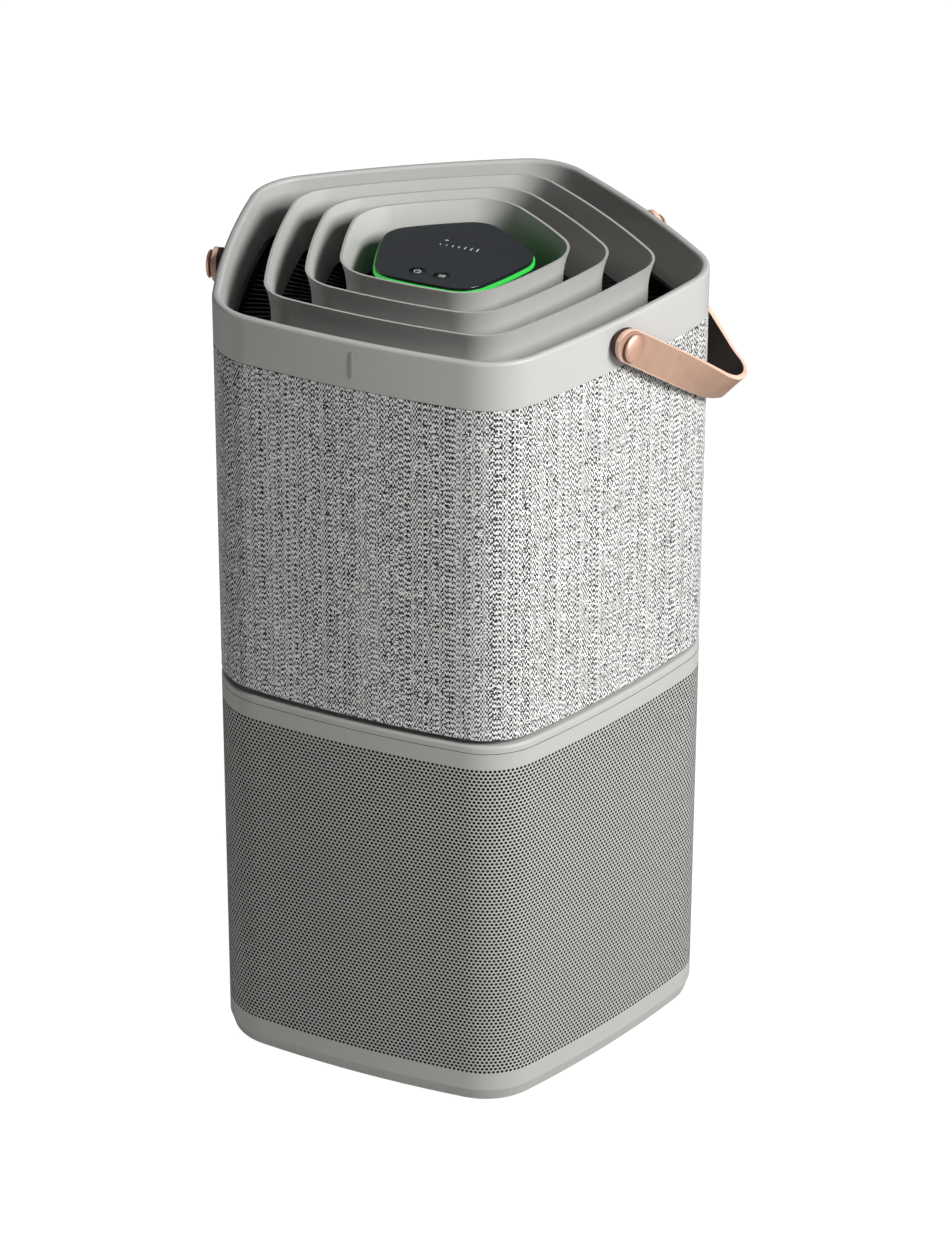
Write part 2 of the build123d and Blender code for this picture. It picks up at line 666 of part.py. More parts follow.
# ---- waist and upper casing -------------------------------------------------------------------
WAIST_Z = LOWER_TOP + SEAM
WAIST_TOP = FABRIC_Z - SEAM
COVE = 7.0
COVE_T = 6.0
WAIST_LEG_AT = 146.0
WAIST_LEG_R = 6.0
with BuildPart() as waist_ring:
    wall(0, COVE + WALL, WAIST_Z, WAIST_LEDGE)
    fillet(waist_ring.edges().group_by(Axis.Z)[-1].group_by(SortBy.LENGTH)[-1], WALL)
    wall(COVE, COVE_T, WAIST_Z, WAIST_TOP)
    with BuildSketch(Plane.XY.offset(WAIST_Z)) as web:
        outline(COVE)
        Circle(FLANGE_OUT + FIT, mode=Mode.SUBTRACT)
    extrude(web.sketch, amount=WALL)
    # legs that stand on the fan deck
    for k in range(SIDES):
        spot = corner_dir(k) * WAIST_LEG_AT
        disc(WAIST_LEG_R, DECK_TOP, WAIST_Z, spot.X, spot.Y)
save(waist_ring, "waist_ring")

FABRIC_T = 1.4
SPIGOT_IN = RIM_WALL + FIT
SPIGOT_T = 2.0
SPIGOT_TOP = 563.0
SHELL_HEAD = 4.0
EDGE_IN = RIM_LIP + RIM_FLARE - RIM_SKIN
with BuildPart() as upper_shell:
    wall(FABRIC_T, WALL, WAIST_TOP, FABRIC_TOP)
    wall(FABRIC_T, COVE + WALL, WAIST_TOP, WAIST_TOP + WALL)
    wall(FABRIC_T, SPIGOT_IN + SPIGOT_T - FABRIC_T, FABRIC_TOP - SHELL_HEAD, FABRIC_TOP)
    wall(SPIGOT_IN, SPIGOT_T, FABRIC_TOP, SPIGOT_TOP)
    wall(FABRIC_T, EDGE_IN + SEAT_EDGE - FABRIC_T, GRILLE_Z - WALL, GRILLE_Z)
save(upper_shell, "upper_shell")

with BuildPart() as fabric_sleeve:
    wall(0, FABRIC_T, FABRIC_Z, FABRIC_TOP)
save(fabric_sleeve, "fabric_sleeve")

# ---- outlet ------------------------------------------------------------------------------------
with BuildPart() as outlet_grille:
    with BuildSketch(Plane.XY.offset(GRILLE_Z)) as bars:
        with PolarLocations(APOTHEM / 2 + GRILLE_HUB_R / 2, GRILLE_RIBS):
            Rectangle(APOTHEM - GRILLE_HUB_R + GRILLE_HUB_W, RIB_T)
        outline(EDGE_IN + RIM_SKIN, Mode.INTERSECT)
        Circle(GRILLE_HUB_R)
        Circle(GRILLE_HUB_R - GRILLE_HUB_W, mode=Mode.SUBTRACT)
    extrude(bars.sketch, amount=GRILLE_H)
    wall(EDGE_IN, SEAT_EDGE, GRILLE_Z, SPIDER_Z)
save(outlet_grille, "outlet_grille")

ARM_REACH = 190.0
with BuildPart() as louvre_spider:
    with BuildSketch(Plane.XY.offset(SPIDER_Z)) as arms:
        for k in range(SIDES):
            u = corner_dir(k)
            with Locations(Location(u * (ARM_REACH / 2), degrees(atan2(u.Y, u.X)))):
                Rectangle(ARM_REACH, SPIDER_W)
        scaled_outline(POD_APOTHEM, POD_CORNER)
        outline(EDGE_IN + RIM_SKIN, Mode.INTERSECT)
        Circle(CABLE_IN + CABLE_R * 2, mode=Mode.SUBTRACT)
    extrude(arms.sketch, amount=RIM_BOTTOM - SPIDER_Z)
    wall(EDGE_IN, SEAT_EDGE, SPIDER_Z, RIM_BOTTOM)
save(louvre_spider, "louvre_spider")

RIM_ROOF = 6.0
LEDGE_T = 3.0
with BuildPart() as rim:
    slab(0, RIM_Z, RIM_TOP)
    slab(RIM_WALL, RIM_Z, RIM_TOP - RIM_ROOF, Mode.SUBTRACT)
    with BuildSketch(Plane.XY.offset(RIM_TOP - RIM_FLARE_H)) as skin_low:
        outline(EDGE_IN)
    with BuildSketch(Plane.XY.offset(RIM_TOP)) as skin_high:
        outline(RIM_LIP - RIM_SKIN)
    loft(sections=[skin_low.sketch, skin_high.sketch])
    extrude(skin_low.sketch, amount=-(RIM_TOP - RIM_FLARE_H - RIM_BOTTOM))
    wall(RIM_WALL, SPIGOT_T, SPIGOT_TOP, SPIGOT_TOP + LEDGE_T)
    with BuildSketch(Plane.XY.offset(RIM_TOP - RIM_FLARE_H)) as throat_low:
        outline(EDGE_IN + RIM_SKIN)
    with BuildSketch(Plane.XY.offset(RIM_TOP)) as throat_high:
        outline(RIM_LIP)
    loft(sections=[throat_low.sketch, throat_high.sketch], mode=Mode.SUBTRACT)
    extrude(throat_low.sketch, amount=-(RIM_TOP - RIM_FLARE_H - RIM_BOTTOM), mode=Mode.SUBTRACT)
    fillet(rim.edges().group_by(Axis.Z)[-1], RIM_EDGE_R)
    for i in (1, 2, 3, 4):
        bore_at = side_dir(i) * APOTHEM + Vector(0, 0, RIVET_Z)
        with BuildSketch(Plane(origin=bore_at, z_dir=side_dir(i))) as bore:
            Circle(RIVET_SHANK_R + FIT)
        extrude(bore.sketch, amount=-(RIM_WALL + NUT_GAP), mode=Mode.SUBTRACT)
save(rim, "rim")


def louvre(ring, inset, mode=Mode.ADD):
    """The solid inside one face of a louvre ring: straight below, leaning out at the top."""
    apothem, corner, top = ring
    faces = []
    for depth, lean in RING_LEANS:
        draw = inset + RING_FLARE * lean
        with BuildSketch(Plane.XY.offset(top - RING_FLARE_H * depth)) as cut:
            scaled_outline(apothem - draw, corner - draw)
        faces.append(cut.sketch)
    loft(sections=faces, mode=mode)
    extrude(faces[-1], amount=-(top - RING_FLARE_H - RIM_BOTTOM), mode=mode)


with BuildPart() as louvre_ring_outer:
    louvre(RING_OUTER, 0)
    louvre(RING_OUTER, RING_T, Mode.SUBTRACT)
save(louvre_ring_outer, "louvre_ring_outer")

with BuildPart() as louvre_ring_middle:
    louvre(RING_MIDDLE, 0)
    louvre(RING_MIDDLE, RING_T, Mode.SUBTRACT)
save(louvre_ring_middle, "louvre_ring_middle")

with BuildPart() as louvre_ring_inner:
    louvre(RING_INNER, 0)
    louvre(RING_INNER, RING_T, Mode.SUBTRACT)
save(louvre_ring_inner, "louvre_ring_inner")

# ---- control pod ---------------------------------------------------------------------------------
GLASS_Z = GLASS_TOP - GLASS_T
LIGHT_Z = GLASS_Z - LIGHT_T
POD_IN = POD_APOTHEM - POD_WALL
with BuildPart() as control_pod:
    with BuildSketch(Plane.XY.offset(RIM_BOTTOM)) as pod_foot:
        scaled_outline(POD_APOTHEM, POD_CORNER)
    extrude(pod_foot.sketch, amount=LIGHT_Z - RIM_BOTTOM)
    with BuildSketch(Plane.XY.offset(RIM_BOTTOM + POD_WALL)) as pod_low:
        scaled_outline(POD_IN - POD_STEP, POD_CORNER - POD_WALL - POD_STEP)
    extrude(pod_low.sketch, amount=LIGHT_Z - RIM_BOTTOM, mode=Mode.SUBTRACT)
    with BuildSketch(Plane.XY.offset(BOARD_Z)) as pod_high:
        scaled_outline(POD_IN, POD_CORNER - POD_WALL)
    extrude(pod_high.sketch, amount=LIGHT_Z - BOARD_Z, mode=Mode.SUBTRACT)
    disc(CABLE_R + FIT, RIM_BOTTOM, RIM_BOTTOM + POD_WALL, mode=Mode.SUBTRACT)
save(control_pod, "control_pod")

with BuildPart() as light_ring:
    with BuildSketch(Plane.XY.offset(LIGHT_Z)) as glow:
        scaled_outline(GLASS_APOTHEM + LIGHT_OVER, GLASS_CORNER + LIGHT_OVER)
        scaled_outline(POD_IN, POD_CORNER - POD_WALL, Mode.SUBTRACT)
    extrude(glow.sketch, amount=LIGHT_T)
save(light_ring, "light_ring")

BUTTON_SPOTS = ((-BUTTON_X, BUTTON_Y), (BUTTON_X, BUTTON_Y))
with BuildPart() as panel_glass:
    with BuildSketch(Plane.XY.offset(GLASS_Z)) as pane:
        scaled_outline(GLASS_APOTHEM, GLASS_CORNER)
        with Locations(*BUTTON_SPOTS):
            Circle(BUTTON_R + BUTTON_PLAY, mode=Mode.SUBTRACT)
    extrude(pane.sketch, amount=GLASS_T)
    rim_edges = panel_glass.edges().group_by(Axis.Z)[-1].filter_by(lambda e: e.radius > BUTTON_R * 2)
    fillet(rim_edges, BUTTON_PLAY)
save(panel_glass, "panel_glass")

CAP_TOP = GLASS_TOP + BUTTON_PROUD
CAP_LOW = CAP_TOP - BUTTON_CAP
STEM_LOW = CAP_LOW - BUTTON_STEM


def button(x, y):
    """A push button: dished cap, retaining flange below the glass, stem to the switch."""
    disc(BUTTON_R, CAP_LOW, CAP_TOP, x, y)
    disc(BUTTON_FLANGE_R, CAP_LOW, CAP_LOW + BUTTON_FLANGE_H, x, y)
    disc(BUTTON_STEM_R, STEM_LOW, CAP_LOW, x, y)
    with Locations((x, y, CAP_TOP + BUTTON_DISH_R - BUTTON_DISH)):
        Sphere(BUTTON_DISH_R, mode=Mode.SUBTRACT)


with BuildPart() as button_power:
    button(*BUTTON_SPOTS[0])
save(button_power, "button_power")

with BuildPart() as button_mode:
    button(*BUTTON_SPOTS[1])
save(button_mode, "button_mode")

BOARD_TOP = BOARD_Z + BOARD_T
with BuildPart() as display_board:
    with BuildSketch(Plane.XY.offset(BOARD_Z)) as board_face:
        scaled_outline(POD_IN - FIT, POD_CORNER - POD_WALL - FIT)
    extrude(board_face.sketch, amount=BOARD_T)
save(display_board, "display_board")

with BuildPart() as button_domes:
    for x, y in BUTTON_SPOTS:
        disc(DOME_R, BOARD_TOP, STEM_LOW - BUTTON_TRAVEL - FIT, x, y)
save(button_domes, "button_domes")

with BuildPart() as display_leds:
    with BuildSketch(Plane.XY.offset(BOARD_TOP)) as led_faces:
        with PolarLocations(LED_AT, LED_COUNT, start_angle=FRONT_ANGLE + SIDE_STEP / LED_COUNT):
            Rectangle(LED_S, LED_S)
    extrude(led_faces.sketch, amount=LED_H)
save(display_leds, "display_leds")

# ---- electronics ----------------------------------------------------------------------------------
BAY_Z = WAIST_Z + WALL
with BuildPart() as board_carrier:
    block(-CARRIER_W / 2, CARRIER_W / 2, CARRIER_Y, CARRIER_Y + CARRIER_T, BAY_Z, BAY_Z + CARRIER_H)
save(board_carrier, "board_carrier")

with BuildPart() as main_board:
    low = BAY_Z + (CARRIER_H - MAIN_H) / 2
    block(-MAIN_W / 2, MAIN_W / 2, CARRIER_Y - BOARD_T, CARRIER_Y, low, low + MAIN_H)
save(main_board, "main_board")

LEFT_CORNER = 3
RIGHT_CORNER = 1
with BuildPart() as power_supply:
    u = corner_dir(LEFT_CORNER)
    with BuildSketch(Plane(origin=u * SUPPLY_AT + Vector(0, 0, BAY_Z), x_dir=u, z_dir=(0, 0, 1))) as supply:
        Rectangle(SUPPLY_D, SUPPLY_W)
    extrude(supply.sketch, amount=SUPPLY_H)
save(power_supply, "power_supply")

with BuildPart() as air_sensor:
    a = radians(SENSOR_ANGLE)
    u = Vector(cos(a), sin(a), 0)
    with BuildSketch(Plane(origin=u * SENSOR_AT + Vector(0, 0, DECK_Z), x_dir=u, z_dir=(0, 0, -1))) as sensor:
        Rectangle(SENSOR_D, SENSOR_W)
    extrude(sensor.sketch, amount=SENSOR_H)
save(air_sensor, "air_sensor")

INLET_DEEP = 22.0
INLET_BACK = 4.2
INLET_RIM = 2.5
INLET_LIP = 2.0
SOCKET_W = 20.0
SOCKET_H = 13.0
SOCKET_DEEP = 15.0
PIN_R = 1.2
PIN_PITCH = 8.6
PIN_L = 10.0
with BuildPart() as power_inlet:
    with BuildSketch(INLET_PLANE) as inlet_face:
        Rectangle(INLET_W - FIT, INLET_H - FIT)
    extrude(inlet_face.sketch, amount=-INLET_DEEP)
    with BuildSketch(INLET_PLANE.offset(-INLET_BACK)) as inlet_lip:
        Rectangle(INLET_W + 2 * INLET_RIM, INLET_H + 2 * INLET_RIM)
    extrude(inlet_lip.sketch, amount=INLET_BACK - WALL - SCREW_R / 10)
    with BuildSketch(INLET_PLANE) as socket:
        RectangleRounded(SOCKET_W, SOCKET_H, SOCKET_H / 3)
    extrude(socket.sketch, amount=-SOCKET_DEEP, mode=Mode.SUBTRACT)
save(power_inlet, "power_inlet")

with BuildPart() as inlet_pins:
    with BuildSketch(INLET_PLANE.offset(-SOCKET_DEEP)) as pins:
        with Locations((-PIN_PITCH / 2, 0), (PIN_PITCH / 2, 0)):
            Circle(PIN_R)
    extrude(pins.sketch, amount=PIN_L)
save(inlet_pins, "inlet_pins")

# the display cable climbs from the power supply and runs under the grille to the pod
with BuildPart() as display_cable:
    u = corner_dir(LEFT_CORNER)
    low = u * CABLE_AT + Vector(0, 0, BAY_Z + SUPPLY_H)
    turn = u * CABLE_AT + Vector(0, 0, CABLE_Z)
    under = Vector(0, 0, CABLE_Z)
    end = Vector(0, 0, BOARD_Z)
    with BuildLine() as run:
        FilletPolyline(low, turn, under, end, radius=CABLE_BEND)
    with BuildSketch(Plane(origin=low, z_dir=(0, 0, 1))) as wire:
        Circle(CABLE_R)
    sweep(wire.sketch, path=run.wires()[0])
save(display_cable, "display_cable")

# ---- badge -----------------------------------------------------------------------------------------
with BuildPart() as badge:
    for k in (-1, 0, 1):
        with BuildSketch(Plane(origin=(0, -APOTHEM, BADGE_Z + k * BADGE_PITCH), z_dir=(0, -1, 0))) as bar:
            SlotOverall(BADGE_W, BADGE_BAR)
        extrude(bar.sketch, amount=BADGE_T)
save(badge, "badge")

# ---- handles ---------------------------------------------------------------------------------------
PLAN_REACH = (APOTHEM + STRAP_OUT - STRAP_BEND_R) * tan(radians(HALF_STEP))
PLAN_END = PLAN_REACH + STRAP_BEND_R * radians(HALF_STEP)


def strap_station(corner, side_sign, run):
    """A cross-section plane of a strap, run millimetres (in plan) from the rivet on one side."""
    u = corner_dir(corner)
    h = Vector(-u.Y, u.X, 0) * side_sign
    c, s = cos(radians(HALF_STEP)), sin(radians(HALF_STEP))
    normal = u * c + h * s
    ahead = u * s - h * c
    rivet = normal * (APOTHEM + STRAP_OUT)
    if run <= PLAN_REACH:
        spot = rivet + ahead * run
        heading = ahead
        out = normal
    else:
        turn = (run - PLAN_REACH) / STRAP_BEND_R
        out = normal * cos(turn) + ahead * sin(turn)
        heading = ahead * cos(turn) - normal * sin(turn)
        spot = rivet + ahead * PLAN_REACH - normal * STRAP_BEND_R + out * STRAP_BEND_R
    level_from = PLAN_REACH - STRAP_EASE
    grade = tan(radians(STRAP_SLOPE))
    if run <= level_from:
        drop = grade * run
    else:
        x = run - level_from
        span = PLAN_END - level_from
        drop = grade * (level_from + x - x * x / (2 * span))
        grade = grade * (1 - x / span)
    spot = spot + Vector(0, 0, RIVET_Z - drop)
    along = (heading - Vector(0, 0, grade)).normalized()
    part_way = min(max((run - STRAP_LEAN_FROM) / (PLAN_END - STRAP_LEAN_FROM), 0), 1)
    lean = radians(STRAP_LEAN) * part_way * part_way * (3 - 2 * part_way)
    flat = Vector(0, 0, 1) - along * along.Z
    flat = flat.normalized()
    across = flat * cos(lean) + out * sin(lean)
    across = (across - along * across.dot(along)).normalized()
    return spot, along, across


def strap_plane(corner, side_sign, run, travel):
    spot, along, across = strap_station(corner, side_sign, run)
    return Plane(origin=spot, x_dir=across, z_dir=along * travel)


CUT_STEP = TAB_CUT * cos(radians(STRAP_SLOPE))


def strap_loop(corner):
    stations = []
    count = STRAP_STATIONS
    for k in range(count):
        run = CUT_STEP + (PLAN_END - CUT_STEP) * (k / count) ** 0.75
        stations.append(strap_plane(corner, 1, run, 1))
    stations.append(strap_plane(corner, 1, PLAN_END, 1))
    for k in range(count - 1, -1, -1):
        run = CUT_STEP + (PLAN_END - CUT_STEP) * (k / count) ** 0.75
        stations.append(strap_plane(corner, -1, run, -1))
    faces = []
    for plane in stations:
        with BuildSketch(plane) as cut:
            RectangleRounded(STRAP_W, STRAP_T, STRAP_T / 3)
        faces.append(cut.sketch)
    loft(sections=faces)


def strap_tab(corner, side_sign):
    """The flat end of a strap with its pad and rivet hole."""
    spot, along, across = strap_station(corner, side_sign, 0)
    u = corner_dir(corner)
    h = Vector(-u.Y, u.X, 0) * side_sign
    normal = u * cos(radians(HALF_STEP)) + h * sin(radians(HALF_STEP))
    inner = Plane(origin=spot - normal * (STRAP_T / 2 + TAB_PAD), x_dir=along, z_dir=normal)
    reach = TAB_CUT - TAB_GAP
    with BuildSketch(inner) as tab_face:
        Circle(STRAP_W / 2)
        with Locations((reach / 2, 0)):
            Rectangle(reach, STRAP_W)
        Circle(RIVET_SHANK_R + TAB_HOLE, mode=Mode.SUBTRACT)
    extrude(tab_face.sketch, amount=STRAP_T + TAB_PAD)


with BuildPart() as strap_right:
    strap_loop(RIGHT_CORNER)
save(strap_right, "strap_right")

with BuildPart() as strap_left:
    strap_loop(LEFT_CORNER)
save(strap_left, "strap_left")

with BuildPart() as tab_right_front:
    strap_tab(RIGHT_CORNER, -1)
save(tab_right_front, "tab_right_front")

with BuildPart() as tab_right_rear:
    strap_tab(RIGHT_CORNER, 1)
save(tab_right_rear, "tab_right_rear")

with BuildPart() as tab_left_front:
    strap_tab(LEFT_CORNER, 1)
save(tab_left_front, "tab_left_front")

with BuildPart() as tab_left_rear:
    strap_tab(LEFT_CORNER, -1)
save(tab_left_rear, "tab_left_rear")

RIVET_SIDES = (1, 2, 3, 4)
HEAD_OUT = STRAP_OUT + STRAP_T / 2 + RIVET_LIFT


def rivet_plane(i, off):
    return Plane(origin=side_dir(i) * (APOTHEM + off) + Vector(0, 0, RIVET_Z), z_dir=side_dir(i))


with BuildPart() as handle_rivets:
    for i in RIVET_SIDES:
        with BuildSketch(rivet_plane(i, HEAD_OUT)) as foot_face:
            Circle(RIVET_BASE_R)
        extrude(foot_face.sketch, amount=RIVET_BASE_H)
        with BuildSketch(rivet_plane(i, HEAD_OUT + RIVET_BASE_H)) as head_face:
            Circle(RIVET_R)
        extrude(head_face.sketch, amount=RIVET_H)
        with BuildSketch(rivet_plane(i, HEAD_OUT)) as shank_face:
            Circle(RIVET_SHANK_R)
        extrude(shank_face.sketch, amount=-(HEAD_OUT + RIM_WALL + NUT_GAP + NUT_H))
    head_area = pi * RIVET_R ** 2
    flats = handle_rivets.faces().filter_by(GeomType.PLANE)
    tops = flats.filter_by(lambda f: abs(f.area - head_area) < 1)
    fillet(tops.edges(), RIVET_ROUND)
save(handle_rivets, "handle_rivets")

with BuildPart() as handle_collars:
    for i in RIVET_SIDES:
        with BuildSketch(rivet_plane(i, 0)) as collar_face:
            Circle(COLLAR_R)
            Circle(RIVET_SHANK_R, mode=Mode.SUBTRACT)
        extrude(collar_face.sketch, amount=COLLAR_H)
save(handle_collars, "handle_collars")

with BuildPart() as handle_nuts:
    for i in RIVET_SIDES:
        with BuildSketch(rivet_plane(i, -RIM_WALL - NUT_GAP)) as nut_face:
            Circle(NUT_R)
            Circle(RIVET_SHANK_R, mode=Mode.SUBTRACT)
        extrude(nut_face.sketch, amount=-NUT_H)
save(handle_nuts, "handle_nuts")
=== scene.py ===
import json
from math import atan2, cos, pi, radians, sin, sqrt, tan

import bmesh
import bpy
import numpy as np
from mathutils import Matrix, Vector


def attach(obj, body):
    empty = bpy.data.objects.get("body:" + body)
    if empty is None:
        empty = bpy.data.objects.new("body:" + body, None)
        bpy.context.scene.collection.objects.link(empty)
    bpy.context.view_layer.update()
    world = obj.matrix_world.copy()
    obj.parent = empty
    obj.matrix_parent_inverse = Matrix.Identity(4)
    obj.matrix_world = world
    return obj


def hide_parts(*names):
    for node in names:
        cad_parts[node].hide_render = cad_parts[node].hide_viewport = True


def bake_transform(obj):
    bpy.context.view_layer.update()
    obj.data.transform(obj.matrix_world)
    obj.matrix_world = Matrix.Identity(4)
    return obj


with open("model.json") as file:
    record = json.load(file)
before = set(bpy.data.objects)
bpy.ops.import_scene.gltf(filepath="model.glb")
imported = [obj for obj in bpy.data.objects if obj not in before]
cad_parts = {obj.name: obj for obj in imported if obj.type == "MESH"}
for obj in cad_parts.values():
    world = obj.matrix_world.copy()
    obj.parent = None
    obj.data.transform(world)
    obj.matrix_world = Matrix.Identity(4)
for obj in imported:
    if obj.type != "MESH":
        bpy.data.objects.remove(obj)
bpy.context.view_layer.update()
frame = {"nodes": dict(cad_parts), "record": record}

# Floor-standing air purifier, metres. The outline, the heights and the strap's route repeat the
# CAD part's own values, so that each new surface lies on the solid it stands for.
MM = 0.001

# ---- body outline, in millimetres ----------------------------------------------------------
APOTHEM = 157.5
CORNER_R = 48.0
BULGE_R = 840.0
SIDES = 5
SIDE_STEP = 2 * pi / SIDES
HALF_STEP = pi / SIDES

# ---- heights, in millimetres ---------------------------------------------------------------
DOOR_Z = 14.0
SHELL_Z = 13.6
LOWER_TOP = 292.0
HOLES_Z = 25.5
HOLES_TOP = 281.6
FABRIC_Z = 302.4
FABRIC_TOP = 555.2          # the CAD cloth ends at 555.0
GLASS_TOP = 589.4
BUTTON_TOP = 589.6

# ---- pierced casing: six-sided holes, 2.4 mm across corners, in staggered rows -------------
PITCH = 3.2
HOLE_R = 1.2
ROW = PITCH * sqrt(3) / 2
DOOR_HALF = 138.0
DOOR_SEAM = 0.4
PLAIN_EDGE = 6.0
SKIN = 0.7

YARN = 1.02 * MM


# ---- materials -----------------------------------------------------------------------------
def linear(code, alpha=1.0):
    """An sRGB hex colour as linear red, green, blue and alpha."""
    parts = [int(code[k:k + 2], 16) / 255 for k in (1, 3, 5)]
    return tuple(c / 12.92 if c <= 0.04045 else ((c + 0.055) / 1.055) ** 2.4 for c in parts) + (alpha,)


def add(tree, kind, inputs=None, **settings):
    """Adds one shader node and sets its properties and its inputs.

    An input is a plain value, a socket that feeds it, or a node whose first output feeds it.
    """
    node = tree.nodes.new("ShaderNode" + kind)
    for name, value in settings.items():
        setattr(node, name, value)
    for name, item in (inputs or {}).items():
        if isinstance(item, bpy.types.Node):
            item = item.outputs[0]
        if isinstance(item, bpy.types.NodeSocket):
            tree.links.new(item, node.inputs[name])
        else:
            node.inputs[name].default_value = item
    return node


def new_material(name, colour, roughness, metallic=0.0, **sockets):
    """A Principled material with its uniform values set on its own sockets."""
    mat = bpy.data.materials.new(name)
    mat.use_nodes = True
    shader = mat.node_tree.nodes["Principled BSDF"]
    shader.inputs["Base Color"].default_value = linear(colour)
    shader.inputs["Roughness"].default_value = roughness
    shader.inputs["Metallic"].default_value = metallic
    for key, value in sockets.items():
        shader.inputs[key.replace("_", " ")].default_value = value
    mat.diffuse_color = linear(colour)
    return mat, mat.node_tree, shader


def mottle(mat, dark, light, size_mm, grain_mm, lift_mm, rough):
    """Cloudy colour of one patch size, and a fine surface grain of another, both on object space."""
    tree = mat.node_tree
    shader = tree.nodes["Principled BSDF"]
    place = add(tree, "TexCoord").outputs["Object"]
    cloud = add(tree, "TexNoise", {"Vector": place, "Scale": 1000 / size_mm, "Detail": 4.0})
    colour = add(tree, "Mix", {0: cloud, 6: linear(dark), 7: linear(light)}, data_type="RGBA")
    tree.links.new(colour.outputs[2], shader.inputs["Base Color"])
    grain = add(tree, "TexNoise", {"Vector": place, "Scale": 1000 / grain_mm, "Detail": 2.0})
    bump = add(tree, "Bump", {"Height": grain, "Strength": 0.5, "Distance": lift_mm * MM})
    tree.links.new(bump.outputs[0], shader.inputs["Normal"])
    spread = add(tree, "MapRange", {"Value": cloud, "To Min": rough[0], "To Max": rough[1]})
    tree.links.new(spread.outputs[0], shader.inputs["Roughness"])
    return mat


def satin_paint():
    """Soft-touch satin paint on moulded ABS: a warm light grey with a faint orange peel of about 1 mm."""
    mat = new_material("satin_paint_on_ABS", "#B9B8B5", 0.42, IOR=1.47)[0]
    return mottle(mat, "#B7B6B3", "#BCBBB8", 60, 0.9, 0.012, (0.38, 0.46))


def moulded(name, dark, light, rough, grain=0.6):
    """A moulded plastic or rubber: cloudy colour and a spark-eroded grain."""
    mat = new_material(name, light, rough)[0]
    return mottle(mat, dark, light, 35, grain, 0.02, (rough - 0.05, rough + 0.05))


def rolled_metal(name, dark, light, rough, stretch=(1, 1, 14)):
    """Rolled or turned metal: fine streaks along one direction vary its roughness and colour."""
    mat, tree, shader = new_material(name, light, rough, 1.0)
    place = add(tree, "TexCoord").outputs["Object"]
    drawn = add(tree, "Mapping", {"Vector": place, "Scale": stretch})
    streak = add(tree, "TexNoise", {"Vector": drawn, "Scale": 700.0, "Detail": 3.0})
    colour = add(tree, "Mix", {0: streak, 6: linear(dark), 7: linear(light)}, data_type="RGBA")
    tree.links.new(colour.outputs[2], shader.inputs["Base Color"])
    spread = add(tree, "MapRange", {"Value": streak, "To Min": rough - 0.07, "To Max": rough + 0.07})
    tree.links.new(spread.outputs[0], shader.inputs["Roughness"])
    return mat


def leather_face():
    """Vegetable-tanned cowhide, smooth side: rosy tan with cloudy tone, pores about 0.6 mm apart."""
    mat, tree, shader = new_material("tanned_leather_face", "#C8936C", 0.46, IOR=1.45)
    place = add(tree, "TexCoord").outputs["Object"]
    cloud = add(tree, "TexNoise", {"Vector": place, "Scale": 90.0, "Detail": 5.0})
    pores = add(tree, "TexVoronoi", {"Vector": place, "Scale": 1600.0})
    tone = add(tree, "Mix", {0: cloud, 6: linear("#A07E69"), 7: linear("#B69886")}, data_type="RGBA")
    deep = add(tree, "Math", {0: pores, 1: 0.22}, operation="MULTIPLY")
    colour = add(tree, "Mix", {0: deep, 6: tone.outputs[2], 7: linear("#8A5F48")}, data_type="RGBA")
    tree.links.new(colour.outputs[2], shader.inputs["Base Color"])
    bump = add(tree, "Bump", {"Height": pores, "Strength": 0.35, "Distance": 0.06 * MM})
    tree.links.new(bump.outputs[0], shader.inputs["Normal"])
    spread = add(tree, "MapRange", {"Value": cloud, "To Min": 0.40, "To Max": 0.54})
    tree.links.new(spread.outputs[0], shader.inputs["Roughness"])
    return mat


